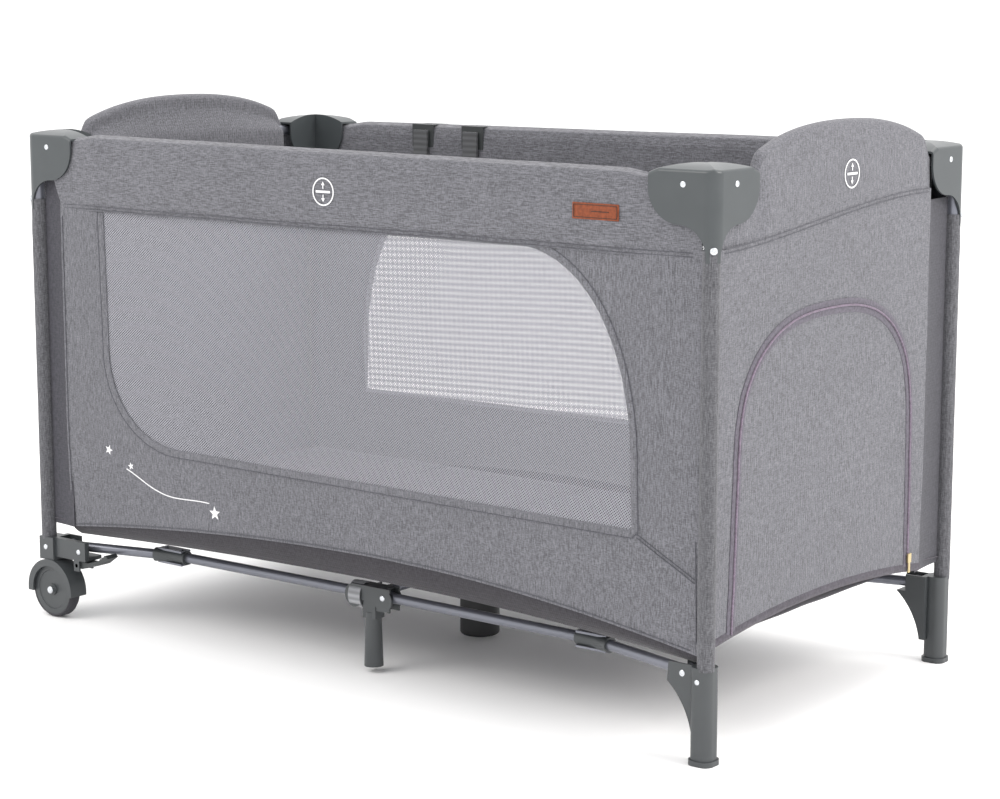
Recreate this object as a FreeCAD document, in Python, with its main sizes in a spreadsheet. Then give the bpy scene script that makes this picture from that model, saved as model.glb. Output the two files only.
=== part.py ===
"""Folding travel cot: four corner posts with plastic caps, hinged top rails with locks,
a folding base frame with a central hub, two wheels, fabric walls with windows, a zip door
and a padded folding base board."""
import FreeCAD
import Part
import math
import os
import Sketcher
from FreeCAD import Placement, Rotation, Vector

# ---------------------------------------------------------------- driving dimensions (mm)
SIZES = {
    # overall frame, measured to the outer faces of the corner caps
    "mid_x": 12.5,              # shift that puts the origin under the middle, wheels included
    "half_length": 625,
    "half_width": 325,
    "rail_height": 735,
    "rail_inset": 20,           # rail axis in from the outer faces
    "pivot_inset": 48,          # rail pivot in from the virtual corner, along the rail
    "lock_pin_offset": 27,      # lock pins either side of a rail's middle
    "rail_radius": 8.5,
    "rail_wall": 1.2,
    "rail_end": 8,              # tube past each pin
    "pin_radius": 3,
    "pin_clearance": 0.06,
    # posts and feet
    "post_inset": 13,
    "post_radius": 9.5,
    "post_bottom": 96,
    "post_top": 744,
    "foot_inset": 17.5,
    "foot_side": 31,
    "foot_rim_side": 35,
    "foot_rim_rise": 7,
    "foot_top": 128,
    "foot_corner": 12,
    "wing_thickness": 28.5,
    # corner caps
    "cap_wing": 100,
    "cap_depth": 40,
    "cap_wall": 3,
    "cap_tip": 640,
    "cap_top": 760,
    "cap_round": 18,
    "cap_edge": 5,
    # folding base frame
    "base_height": 115,
    "base_radius": 7.5,
    "base_wall": 1.2,
    "base_pivot_y": 300,
    "base_fork_x": 397,
    "base_fork_y": 252,
    "base_mid_y": 245,
    "eye_radius": 9,
    "eye_width": 15,
    "base_pin_radius": 4,
    "clevis_bottom": 98,
    "clevis_top": 128,
    "leg_bottom": 10,
    "cross_pin_y": 223,
    "cross_radius": 6.5,
    "cross_eye": 8,
    "hub_pin_y": 18,
    "hub_radius": 30,
    "hub_bottom": 6,
    "hub_top": 98,
    # wheels
    "wheel_x": 601,
    "wheel_y": 309.5,
    "wheel_radius": 44,
    "wheel_width": 23,
    "disc_radius": 39,
    "axle_radius": 4,
    "hood_radius": 49,
    "hood_wall": 3,
    "lever_pivot_x": 545,
    "lever_pivot_z": 90,
    # fabric
    "fabric": 2,
    "wall_inset": 3,            # outer face of the fabric in from the outer faces of the caps
    "wall_bottom": 150,
    "wall_step": 636,           # above this the wall lies between the wings of the caps
    "cover_top": 748,
    "crest_top": 805,
    "crest_depth": 20,
    "skirt_inset": 38,
    "door_left": 270,
    "door_right": 192,
    "door_bottom": 166,
    "door_shoulder": 400,
    "door_top": 557,
    "door_gap": 2,
    "floor_height": 161,
    "board_bottom": 165,
    "board_thickness": 22,
    "board_half_width": 290,
    "board_end": 588,
    # window in the long walls
    "window_top": 633,
    "window_bottom": 293,
    "window_left": 460,
    "window_right": 501,
}

doc = FreeCAD.newDocument("TravelCot")
sheet = doc.addObject("Spreadsheet::Sheet", "Sizes")
for row, (alias, value) in enumerate(SIZES.items(), start=1):
    sheet.set(f"A{row}", alias)
    sheet.set(f"B{row}", str(value))
    sheet.setAlias(f"B{row}", alias)
doc.recompute()

nodes = []
LONG = SIZES["half_length"]
WIDE = SIZES["half_width"]
CORNERS = {"front_right": (1, -1, 0), "rear_right": (1, 1, 90),
           "rear_left": (-1, 1, 180), "front_left": (-1, -1, 270)}
TURN_Z_TO_X = Rotation(Vector(0, 1, 0), 90)
TURN_Z_TO_Y = Rotation(Vector(1, 1, 1), -120)
TURNS = {"x": TURN_Z_TO_X, "y": TURN_Z_TO_Y, "z": Rotation()}


def size(alias):
    """The number that a cell of the sheet holds."""
    return float(sheet.get(alias))


def node(obj, label):
    """Name a finished sub-part and keep it for the export."""
    obj.Label = label
    nodes.append(obj)
    return obj


# ---------------------------------------------------------------- helpers for solid bodies
def place(obj, centre=("0", "0", "0"), turn=None):
    """Put an object at a place given by three expressions, in the shifted row frame."""
    obj.Placement = Placement(Vector(), turn or Rotation())
    for axis, text in zip("xyz", centre):
        shift = "Sizes.mid_x + " if axis == "x" else ""
        obj.setExpression(f".Placement.Base.{axis}", f"{shift}{text}")
    return obj


def new_body(name):
    return doc.addObject("PartDesign::Body", name)


def new_sketch(body, role, offset="0"):
    """A sketch on one of the body's own origin planes, moved along its normal."""
    sketch = body.newObject("Sketcher::SketchObject", "Sketch")
    plane = [p for p in body.Origin.OriginFeatures if p.Role == role][0]
    sketch.AttachmentSupport = [(plane, "")]
    sketch.MapMode = "FlatFace"
    sketch.setExpression(".AttachmentOffset.Base.z", offset)
    return sketch


def draw_circle(sketch, radius, across="0", up="0"):
    """A circle with its radius and centre bound to expressions."""
    index = sketch.addGeometry(Part.Circle(Vector(1, 1, 0), Vector(0, 0, 1), 5), False)
    for kind, value, text in (("Radius", 5, radius), ("DistanceX", 1, across), ("DistanceY", 1, up)):
        if kind == "Radius":
            bound = sketch.addConstraint(Sketcher.Constraint(kind, index, value))
        else:
            bound = sketch.addConstraint(Sketcher.Constraint(kind, -1, 1, index, 3, value))
        sketch.setExpression(f"Constraints[{bound}]", text)
    return index


def draw_polygon(sketch, corners):
    """A closed polygon whose every corner is bound to two expressions."""
    count = len(corners)
    ring = [Vector(50 * math.cos(2 * math.pi * k / count), 50 * math.sin(2 * math.pi * k / count), 0)
            for k in range(count)]
    first = sketch.GeometryCount
    for k in range(count):
        sketch.addGeometry(Part.LineSegment(ring[k], ring[(k + 1) % count]), False)
    for k in range(count):
        after = first + (k + 1) % count
        sketch.addConstraint(Sketcher.Constraint("Coincident", first + k, 2, after, 1))
    for k, (across, up) in enumerate(corners):
        for kind, value, text in (("DistanceX", ring[k].x, across), ("DistanceY", ring[k].y, up)):
            bound = sketch.addConstraint(Sketcher.Constraint(kind, -1, 1, first + k, 1, value))
            sketch.setExpression(f"Constraints[{bound}]", text)


def draw_outline(sketch, start, steps):
    """A closed outline: each step is an end point, or a middle point and an end point of an arc."""
    here = Vector(*start, 0)
    first = sketch.GeometryCount
    for step in steps:
        if len(step) == 2 and not isinstance(step[0], tuple):
            there = Vector(*step, 0)
            sketch.addGeometry(Part.LineSegment(here, there), False)
        else:
            there = Vector(*step[1], 0)
            sketch.addGeometry(Part.Arc(here, Vector(*step[0], 0), there), False)
        here = there


def pad(body, sketch, length, midplane=False):
    feature = body.newObject("PartDesign::Pad", "Pad")
    feature.Profile = sketch
    feature.Midplane = midplane
    feature.setExpression("Length", length)
    return feature


def pocket(body, sketch, length=None, midplane=True):
    """Cut a sketch both ways from its plane, or against its normal, right through or to a length."""
    feature = body.newObject("PartDesign::Pocket", "Pocket")
    feature.Profile = sketch
    feature.Midplane = midplane
    if length is None:
        feature.Type = "ThroughAll"
    else:
        feature.setExpression("Length", length)
    return feature


def round_edges(body, pick, radius):
    """Fillet the edges of the body's last feature that the pick function accepts."""
    doc.recompute()
    last = body.Tip
    names = [f"Edge{k}" for k, edge in enumerate(last.Shape.Edges, start=1) if pick(edge)]
    feature = body.newObject("PartDesign::Fillet", "Fillet")
    feature.Base = (last, names)
    feature.setExpression("Radius", radius)
    return feature


def upright(edge):
    """True for a straight edge parallel to the body's Z axis."""
    ends = [vertex.Point for vertex in edge.Vertexes]
    return len(ends) == 2 and (ends[1] - ends[0]).cross(Vector(0, 0, 1)).Length < 1e-6


# ---------------------------------------------------------------- helpers for primitives
def block(sizes, centre):
    """A box given by three sizes and its centre, as expressions."""
    box = doc.addObject("Part::Box", "Block")
    for side, text in zip(("Length", "Width", "Height"), sizes):
        box.setExpression(side, text)
    return place(box, [f"({middle}) - ({text}) / 2" for middle, text in zip(centre, sizes)])


def rod(radius, length, centre, axis):
    """A cylinder given by its radius, its length and its middle point, along x, y or z."""
    cylinder = doc.addObject("Part::Cylinder", "Rod")
    cylinder.setExpression("Radius", radius)
    cylinder.setExpression("Height", length)
    start = [f"({text}) - ({length}) / 2" if name == axis else text
             for name, text in zip("xyz", centre)]
    return place(cylinder, start, TURNS[axis])


def fuse(*parts):
    result = doc.addObject("Part::MultiFuse", "Fuse")
    result.Shapes = list(parts)
    return result


def cut(base, *tools):
    result = doc.addObject("Part::Cut", "Cut")
    result.Base = base
    result.Tool = tools[0] if len(tools) == 1 else fuse(*tools)
    return result


def group(*parts):
    """Separate solids that share one node."""
    result = doc.addObject("Part::Compound", "Group")
    result.Links = list(parts)
    return result


def straight_tube(start, end, radius, wall, plug_start, plug_end):
    """A round tube between two points, with its bore stopped short of each end."""
    run = end - start
    along = Vector(run).normalize()
    turn = Rotation(Vector(0, 0, 1), along)
    outer = doc.addObject("Part::Cylinder", "TubeOutside")
    outer.setExpression("Radius", radius)
    outer.Height = run.Length
    outer.Placement = Placement(start + Vector(size("mid_x"), 0, 0), turn)
    bore = doc.addObject("Part::Cylinder", "TubeBore")
    bore.setExpression("Radius", f"{radius} - {wall}")
    bore.Height = run.Length - plug_start - plug_end
    bore.Placement = Placement(start + along * plug_start + Vector(size("mid_x"), 0, 0), turn)
    return cut(outer, bore)


# ---------------------------------------------------------------- corners
def corner_cap(name, side_x, side_y, turn):
    """Moulded cap with a curved wing along each rail and a pointed shield down the post."""
    body = new_body("CornerCap")
    wing, depth, wall = "Sizes.cap_wing", "Sizes.cap_depth", "Sizes.cap_wall"
    plan = new_sketch(body, "XY_Plane", "Sizes.cap_tip")
    draw_polygon(plan, [("0", "0"), (f"-{wing}", "0"), (f"-{wing}", depth), (f"-{depth}", depth),
                        (f"-{depth}", wing), ("0", wing)])
    pad(body, plan, "Sizes.cap_top - Sizes.cap_tip")
    tip, top, end = size("cap_tip"), size("cap_top"), size("cap_wing") + 1
    for role, way in (("XZ_Plane", -1), ("YZ_Plane", 1)):
        below = new_sketch(body, role)
        draw_outline(below, (way * 14, tip - 1),
                     [(way * 14, tip), ((way * 26, tip + 34), (way * 55, tip + 45)),
                      ((way * 86, tip + 58), (way * (end - 1), tip + 95)), (way * end, tip + 95),
                      (way * end, tip - 1), (way * 14, tip - 1)])
        pocket(body, below)
        above = new_sketch(body, role)
        draw_outline(above, (-way, top + 1),
                     [(-way, top - 8), ((way * 40, top), (way * end, top - 12)),
                      (way * end, top + 1), (-way, top + 1)])
        pocket(body, above)
    round_edges(body, lambda e: upright(e) and abs(e.Vertexes[0].X) + abs(e.Vertexes[0].Y) < 0.1,
                "Sizes.cap_round")
    round_edges(body, lambda e: min(vertex.Z for vertex in e.Vertexes) > top - 15
                and min(abs(e.CenterOfMass.x), abs(e.CenterOfMass.y)) < 9, "Sizes.cap_edge")
    for role, way in (("XZ_Plane", -1), ("YZ_Plane", 1)):
        channel = new_sketch(body, role, "-Sizes.cap_depth / 2")
        draw_outline(channel, (way * 14, tip - 1),
                     [(way * 14, top - 11), (way * 80, top - 11), (way * end, top - 15),
                      (way * end, tip - 1), (way * 14, tip - 1)])
        pocket(body, channel, f"{depth} - 2 * {wall}")
    socket = new_sketch(body, "XY_Plane", "Sizes.post_top + 0.5")
    draw_circle(socket, "Sizes.post_radius + 0.2", "-Sizes.post_inset", "Sizes.post_inset")
    pocket(body, socket, "Sizes.cap_top - Sizes.cap_tip", midplane=False)
    place(body, (f"{side_x} * Sizes.half_length", f"{side_y} * Sizes.half_width", "0"),
          Rotation(Vector(0, 0, 1), turn))
    return node(body, f"corner_cap_{name}")


def tube_body(label, length, centre, axis, radius="Sizes.rail_radius", pins=()):
    """A tube with cross holes for its pins, each given by its place along the tube."""
    body = new_body("Tube")
    ring = new_sketch(body, "XY_Plane")
    draw_circle(ring, radius)
    draw_circle(ring, f"{radius} - Sizes.rail_wall")
    pad(body, ring, length, midplane=True)
    if pins:
        holes = new_sketch(body, "XZ_Plane")
        for along in pins:
            draw_circle(holes, "Sizes.pin_radius + Sizes.pin_clearance", "0", along)
        pocket(body, holes)
    place(body, centre, TURNS[axis])
    return node(body, label)


def post(name, side_x, side_y):
    """Upright steel tube of one corner."""
    return tube_body(f"post_{name}", "Sizes.post_top - Sizes.post_bottom",
                     (f"{side_x} * (Sizes.half_length - Sizes.post_inset)",
                      f"{side_y} * (Sizes.half_width - Sizes.post_inset)",
                      "(Sizes.post_top + Sizes.post_bottom) / 2"), "z", "Sizes.post_radius")


def post_socket(side_x, side_y):
    """The space that the post takes up in a foot or wheel bracket."""
    return rod("Sizes.post_radius + 0.1", "60",
               (f"{side_x} * (Sizes.half_length - Sizes.post_inset)",
                f"{side_y} * (Sizes.half_width - Sizes.post_inset)", "Sizes.post_bottom + 30"), "z")


def foot_column(side_x, side_y):
    """Rounded column of a foot, flared at the floor."""
    body = new_body("FootColumn")
    half, rim = "Sizes.foot_side / 2", "Sizes.foot_rim_side / 2"
    square = new_sketch(body, "XY_Plane")
    draw_polygon(square, [(f"-{half}", f"-{half}"), (half, f"-{half}"), (half, half), (f"-{half}", half)])
    pad(body, square, "Sizes.foot_top")
    round_edges(body, upright, "Sizes.foot_corner")
    flare = new_sketch(body, "XY_Plane")
    draw_polygon(flare, [(f"-{rim}", f"-{rim}"), (rim, f"-{rim}"), (rim, rim), (f"-{rim}", rim)])
    pad(body, flare, "Sizes.foot_rim_rise")
    round_edges(body, lambda e: upright(e) and e.Length < size("foot_rim_rise") + 0.1,
                "Sizes.foot_corner")
    place(body, (f"{side_x} * (Sizes.half_length - Sizes.foot_inset)",
                 f"{side_y} * (Sizes.half_width - Sizes.foot_inset)", "0"))
    return body


def foot(name, side_x, side_y):
    """Plastic foot with a curved wing, slotted at the top for the eye of a base tube."""
    body = new_body("FootWing")
    shape = new_sketch(body, "XZ_Plane")
    draw_outline(shape, (600, 128), [(556, 128), (554, 102), ((574, 80), (592, 34)), (600, 34), (600, 128)])
    pad(body, shape, "Sizes.wing_thickness", midplane=True)
    place(body, ("0", f"{side_y} * (Sizes.base_pivot_y - 1.25)", "0"))
    slot = block(("52", "22.5", "40"), ("566", f"{side_y} * (Sizes.base_pivot_y - 1.25)", "123"))
    tube_way = block(("50", "12", "40"), ("543", f"{side_y} * 286", "123"))
    solid = cut(fuse(foot_column(side_x, side_y), cut(body, slot, tube_way)), post_socket(side_x, side_y))
    return node(solid, f"foot_{name}")


def wheel_bracket(name, side_x, side_y):
    """Bracket on the post with a hood over the wheel, a slot for the base tube and lever ears."""
    pivot_y = f"{side_y} * Sizes.base_pivot_y"
    height = "Sizes.clevis_top - Sizes.clevis_bottom"
    middle = "(Sizes.clevis_top + Sizes.clevis_bottom) / 2"
    column = block(("Sizes.foot_side", "Sizes.foot_side", "36"),
                   (f"{side_x} * (Sizes.half_length - Sizes.foot_inset)",
                    f"{side_y} * (Sizes.half_width - Sizes.foot_inset)", "110"))
    arm = block(("76", "34", height), (f"{side_x} * 563", f"{side_y} * 301", middle))
    slot = block(("90", "22", "60"), (f"{side_x} * 547", f"{pivot_y} - {side_y} * 1.5", "134"))
    tube_way = block(("50", "12", "60"), (f"{side_x} * 543", f"{side_y} * 286", "134"))
    ears = [block(("12", "3", "20"), (f"{side_x} * Sizes.lever_pivot_x", f"{side_y} * {place_y}", "91"))
            for place_y in (316.5, 289.5)]
    centre = (f"{side_x} * Sizes.wheel_x", f"{side_y} * 309", "Sizes.wheel_radius")
    hood = cut(rod("Sizes.hood_radius", "32", centre, "y"),
               rod("Sizes.hood_radius - Sizes.hood_wall", "26", centre, "y"),
               rod("Sizes.disc_radius - 1", "26", (centre[0], f"{side_y} * 320", centre[2]), "y"),
               block(("100", "40", "Sizes.hood_radius"),
                     (centre[0], centre[1], "Sizes.wheel_radius - Sizes.hood_radius / 2 - 6")))
    hole = rod("Sizes.axle_radius", "40", centre, "y")
    solid = cut(fuse(cut(arm, slot, tube_way), column, hood, *ears), post_socket(side_x, side_y), hole)
    return node(solid, f"wheel_bracket_{name}")


def wheel(name, side_x, side_y):
    """Dished plastic disc and its rubber tyre, turned about the wheel's axis."""
    centre = (f"{side_x} * Sizes.wheel_x", f"{side_y} * Sizes.wheel_y", "Sizes.wheel_radius")
    half = "Sizes.wheel_width / 2"
    profiles = {
        "wheel_disc": [("Sizes.axle_radius + 0.08", f"-{half} + 2"), ("8", f"-{half} + 2"),
                       ("9", f"-{half} + 4.5"), ("30", f"-{half} + 3.5"), ("31", f"-{half} + 2"),
                       ("Sizes.disc_radius", f"-{half} + 2"), ("Sizes.disc_radius", f"{half} - 2"),
                       ("31", f"{half} - 2"), ("30", f"{half} - 3.5"), ("9", f"{half} - 4.5"),
                       ("8", f"{half} - 2"), ("Sizes.axle_radius + 0.08", f"{half} - 2")],
        "tyre": [("Sizes.disc_radius", f"-{half} + 2"), ("Sizes.wheel_radius - 3", f"-{half} + 1"),
                 ("Sizes.wheel_radius", f"-{half} + 5"), ("Sizes.wheel_radius", f"{half} - 5"),
                 ("Sizes.wheel_radius - 3", f"{half} - 1"), ("Sizes.disc_radius", f"{half} - 2")],
    }
    for part, corners in profiles.items():
        body = new_body("Wheel")
        profile = new_sketch(body, "XZ_Plane")
        draw_polygon(profile, corners)
        turned = body.newObject("PartDesign::Revolution", "Turned")
        turned.Profile = profile
        turned.ReferenceAxis = (profile, ["V_Axis"])
        turned.Angle = 360
        place(body, centre, TURN_Z_TO_Y)
        node(body, f"{part}_{name}")


def brake_lever(name, side_x, side_y):
    """Foot lever that brakes the wheel, with a ribbed pedal."""
    body = new_body("BrakeLever")
    shape = new_sketch(body, "XZ_Plane")
    way = -side_x
    profile = [(-7, -5), (-7, 4), (4, 6), (22, 6), (44, 12), (62, 24), (66, 19), (47, 6), (24, -1), (8, -5)]
    draw_polygon(shape, [(str(way * across), str(up)) for across, up in profile])
    pad(body, shape, "22", midplane=True)
    bore = new_sketch(body, "XZ_Plane")
    draw_circle(bore, "Sizes.pin_radius + Sizes.pin_clearance")
    pocket(body, bore)
    place(body, (f"{side_x} * Sizes.lever_pivot_x", f"{side_y} * 303", "Sizes.lever_pivot_z"))
    ribs = [block(("2", "20", "3"), (f"{side_x} * {x}", f"{side_y} * 303", f"{z}"))
            for x, z in ((497, 104.4), (492, 107.7), (487, 111))]
    return node(fuse(body, *ribs), f"brake_lever_{name}")


def fasteners(name, side_x, side_y):
    """Rail pivot pins, shield rivet, base tube pin and, at a wheel, the axle and lever pin."""
    pivot_x = f"{side_x} * (Sizes.half_length - Sizes.pivot_inset)"
    pivot_y = f"{side_y} * (Sizes.half_width - Sizes.pivot_inset)"
    long_y = f"{side_y} * (Sizes.half_width - Sizes.rail_inset)"
    short_x = f"{side_x} * (Sizes.half_length - Sizes.rail_inset)"
    parts = [rod("Sizes.pin_radius", "39.6", (pivot_x, long_y, "Sizes.rail_height"), "y"),
             rod("Sizes.pin_radius", "39.6", (short_x, pivot_y, "Sizes.rail_height"), "x"),
             rod("Sizes.base_pin_radius", "27",
                 (pivot_x, f"{side_y} * Sizes.base_pivot_y", "Sizes.base_height"), "y")]
    rivet = doc.addObject("Part::Cylinder", "ShieldRivet")
    rivet.Radius = 4.5
    rivet.Height = 3
    diagonal = Vector(side_x, side_y, 0).normalize()
    rivet.Placement = Placement(Vector(side_x * 618.9 + size("mid_x"), side_y * 318.9, size("cap_tip") + 15),
                                Rotation(Vector(0, 0, 1), diagonal))
    parts.append(rivet)
    if side_x < 0:
        parts.append(rod("Sizes.axle_radius - 0.02", "31.5",
                         (f"{side_x} * Sizes.wheel_x", f"{side_y} * 308.25", "Sizes.wheel_radius"), "y"))
        parts.append(rod("Sizes.pin_radius", "30",
                         (f"{side_x} * Sizes.lever_pivot_x", f"{side_y} * 303", "Sizes.lever_pivot_z"), "y"))
    return node(group(*parts), f"fasteners_{name}")


# ---------------------------------------------------------------- top rails and their locks
def long_rail(name, side_x, side_y):
    """Half of a long top rail, from its corner pivot to its lock pin."""
    reach = "(Sizes.half_length - Sizes.pivot_inset - Sizes.lock_pin_offset)"
    middle = "(Sizes.half_length - Sizes.pivot_inset + Sizes.lock_pin_offset) / 2"
    return tube_body(name, f"{reach} + 2 * Sizes.rail_end",
                     (f"{side_x} * {middle}",
                      f"{side_y} * (Sizes.half_width - Sizes.rail_inset)", "Sizes.rail_height"),
                     "x", pins=(f"-{reach} / 2", f"{reach} / 2"))


def end_rail(name, side_x, side_y):
    """Half of a short top rail."""
    reach = "(Sizes.half_width - Sizes.pivot_inset - Sizes.lock_pin_offset)"
    middle = "(Sizes.half_width - Sizes.pivot_inset + Sizes.lock_pin_offset) / 2"
    return tube_body(name, f"{reach} + 2 * Sizes.rail_end",
                     (f"{side_x} * (Sizes.half_length - Sizes.rail_inset)",
                      f"{side_y} * {middle}", "Sizes.rail_height"),
                     "y", pins=(f"-{reach} / 2", f"{reach} / 2"))


def rail_lock(name, axis, side, drop, button_radius):
    """Trough that holds both rail halves on their pins, with a housing for the release button."""
    def at(along, across, up):
        """Expressions for a point given along the rail, outwards from it and above its axis."""
        outward = f"{side} * (Sizes.half_width - Sizes.rail_inset + {across})"
        if axis == "y":
            outward = f"{side} * (Sizes.half_length - Sizes.rail_inset + {across})"
        height = f"Sizes.rail_height + {up}"
        return (f"{along}", outward, height) if axis == "x" else (outward, f"{along}", height)

    def slab(along, across, up, centre):
        sizes = (along, across, up) if axis == "x" else (across, along, up)
        return block([str(value) for value in sizes], at(*centre))

    trough = cut(slab(92, 24, 24, (0, 0, -3)), slab(93, 19, 24, (0, 0, 0)))
    across_axis = "y" if axis == "x" else "x"
    if drop > 20:
        housing = cut(slab(56, 24, 44, (0, 0, -36)), slab(50, 19, 38, (0, 0, -36)))
        trough = fuse(trough, housing)
    window = rod(f"{button_radius} + 0.3", "10", at(0, 12, -drop), across_axis)
    pin_holes = [rod("Sizes.pin_radius", "30", at(along, 0, 0), across_axis)
                 for along in ("-Sizes.lock_pin_offset", "Sizes.lock_pin_offset")]
    shell = cut(trough, window, *pin_holes)
    pins = [rod("Sizes.pin_radius", "24.6", at(along, 0, 0), across_axis)
            for along in ("-Sizes.lock_pin_offset", "Sizes.lock_pin_offset")]
    node(group(shell, *pins), f"rail_lock_{name}")
    button = fuse(rod(f"{button_radius}", "9", at(0, 9.5, -drop), across_axis),
                  rod("6", "6", at(0, 4, -drop), across_axis))
    node(button, f"release_button_{name}")


# ---------------------------------------------------------------- folding base frame
def eye(centre, axis, radius, pin):
    """Round eye at the end of a tube and the hole through it."""
    return rod(radius, "Sizes.eye_width", centre, axis), rod(f"{pin} + 0.05", "40", centre, axis)


def base_half(name, side_x, side_y):
    """Half of a long base member: outer tube, fork with its two pins, inner tube."""
    level = size("base_height")
    outer_end = Vector(side_x * (LONG - size("pivot_inset")), side_y * size("base_pivot_y"), level)
    fork = Vector(side_x * size("base_fork_x"), side_y * size("base_fork_y"), level)
    inner_end = Vector(side_x * size("lock_pin_offset"), side_y * size("base_mid_y"), level)
    along = Vector(outer_end - fork).normalize()
    solids = []
    for start, end in ((outer_end, fork + along * 8), (inner_end, fork - along * 8)):
        tube = straight_tube(start, end, "Sizes.base_radius", "Sizes.base_wall", 12, 0)
        centre = (f"{start.x:.3f}", f"{start.y:.3f}", "Sizes.base_height")
        boss, hole = eye(centre, "y", "Sizes.eye_radius", "Sizes.base_pin_radius")
        solids.append(cut(fuse(tube, boss), hole))
    for up in (-10, 10):
        plate = block(("50", "20", "3"), (f"{fork.x:.3f}", f"{fork.y:.3f}", f"Sizes.base_height + {up}"))
        solids.append(plate)
    for shift in (-16, 16):
        solids.append(rod("3", "26", (f"{fork.x + shift:.3f}", f"{fork.y:.3f}", "Sizes.base_height"), "z"))
    fork_solid = fuse(*solids[2:])
    outer, inner = [cut(tube, group(*solids[4:])) for tube in solids[:2]]
    return node(group(outer, inner, fork_solid), f"base_half_{name}")


def mid_bracket(name, side_y):
    """Bracket in the middle of a long base member, with its leg, pins and cross tube ears.

    The rear cross tube's eye rests free between the rear ears: this pivot is left open."""
    mid_y = f"{side_y} * Sizes.base_mid_y"
    cheeks = []
    for offset in (-10.5, 10.5):
        cheeks.append(block(("60", "3", "22"), ("0", f"{mid_y} + {offset}", "118")))
        cheeks.append(block(("24", "3", "34"), ("28", f"{mid_y} + {offset}", "112")))
        cheeks += [rod("17", "3", (f"{way} * Sizes.lock_pin_offset", f"{mid_y} + {offset}", "112"), "y")
                   for way in (-1, 1)]
    top = block(("64", "24", "3"), ("0", mid_y, "127.5"))
    web = block(("24", "20", "46"), ("0", mid_y, "104"))
    leg = doc.addObject("Part::Cone", "Leg")
    leg.Radius1 = 14
    leg.Radius2 = 11.5
    leg.setExpression("Height", "90 - Sizes.leg_bottom")
    place(leg, ("0", mid_y, "Sizes.leg_bottom"))
    ears = [block(("3", "18", "24"), (f"{offset}", f"{side_y} * 225", "114")) for offset in (-9.7, 9.7)]
    pin_holes = [rod("Sizes.base_pin_radius", "30", (f"{way} * Sizes.lock_pin_offset", mid_y,
                                                     "Sizes.base_height"), "y") for way in (-1, 1)]
    if side_y < 0:
        pin_holes.append(rod("Sizes.pin_radius", "30", ("0", "-Sizes.cross_pin_y", "Sizes.base_height"), "x"))
    shell = cut(fuse(*cheeks, top, web, leg, *ears), *pin_holes)
    pins = [rod("Sizes.base_pin_radius", "25", (f"{way} * Sizes.lock_pin_offset", mid_y,
                                                "Sizes.base_height"), "y") for way in (-1, 1)]
    if side_y < 0:
        pins.append(rod("Sizes.pin_radius", "23", ("0", "-Sizes.cross_pin_y", "Sizes.base_height"), "x"))
    return node(group(shell, *pins), f"mid_bracket_{name}")


def cross_tube(name, side_y):
    """Tube from a mid bracket to the hub."""
    level = size("base_height")
    ends = [Vector(0, side_y * size("cross_pin_y"), level), Vector(0, side_y * size("hub_pin_y"), level)]
    tube = straight_tube(ends[0], ends[1], "Sizes.cross_radius", "Sizes.base_wall", 11, 11)
    bosses = [eye(("0", f"{end.y:.3f}", "Sizes.base_height"), "x", "Sizes.cross_eye", "Sizes.pin_radius")
              for end in ends]
    holes = [hole for _, hole in bosses]
    solid = cut(fuse(tube, *[boss for boss, _ in bosses]), *(holes if side_y < 0 else holes[1:]))
    return node(solid, f"cross_tube_{name}")


def hub():
    """Central hub with a pair of ears for the cross tubes."""
    body = new_body("HubBody")
    round_plan = new_sketch(body, "XY_Plane", "Sizes.hub_bottom")
    draw_circle(round_plan, "Sizes.hub_radius")
    pad(body, round_plan, "Sizes.hub_top - Sizes.hub_bottom")
    round_edges(body, lambda e: abs(e.BoundBox.ZMax - size("hub_bottom")) < 0.1 and e.BoundBox.ZLength < 0.1,
                "5")
    place(body)
    ears = [block(("3", "54", "30"), (f"{offset}", "0", "109")) for offset in (-9.7, 9.7)]
    pin_centres = [("0", f"{way} * Sizes.hub_pin_y", "Sizes.base_height") for way in (-1, 1)]
    holes = [rod("Sizes.pin_radius", "30", centre, "x") for centre in pin_centres]
    pins = [rod("Sizes.pin_radius", "23", centre, "x") for centre in pin_centres]
    return node(group(cut(fuse(body, *ears), *holes), *pins), "hub")


# ---------------------------------------------------------------- fabric
def window_outline(sketch, grow):
    """The window of a long wall: a long shape with its lower left and upper right corners swept."""
    top, bottom = size("window_top") + grow, size("window_bottom") - grow
    left, right = -size("window_left") - grow, size("window_right") + grow
    draw_outline(sketch, (left, top),
                 [(left + 8, bottom + 107), ((left + 44, bottom + 40), (left + 140, bottom)),
                  (right, bottom), (right - 2, bottom + 107),
                  ((right - 36, top - 100), (right - 128, top)), (left, top)])


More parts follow.
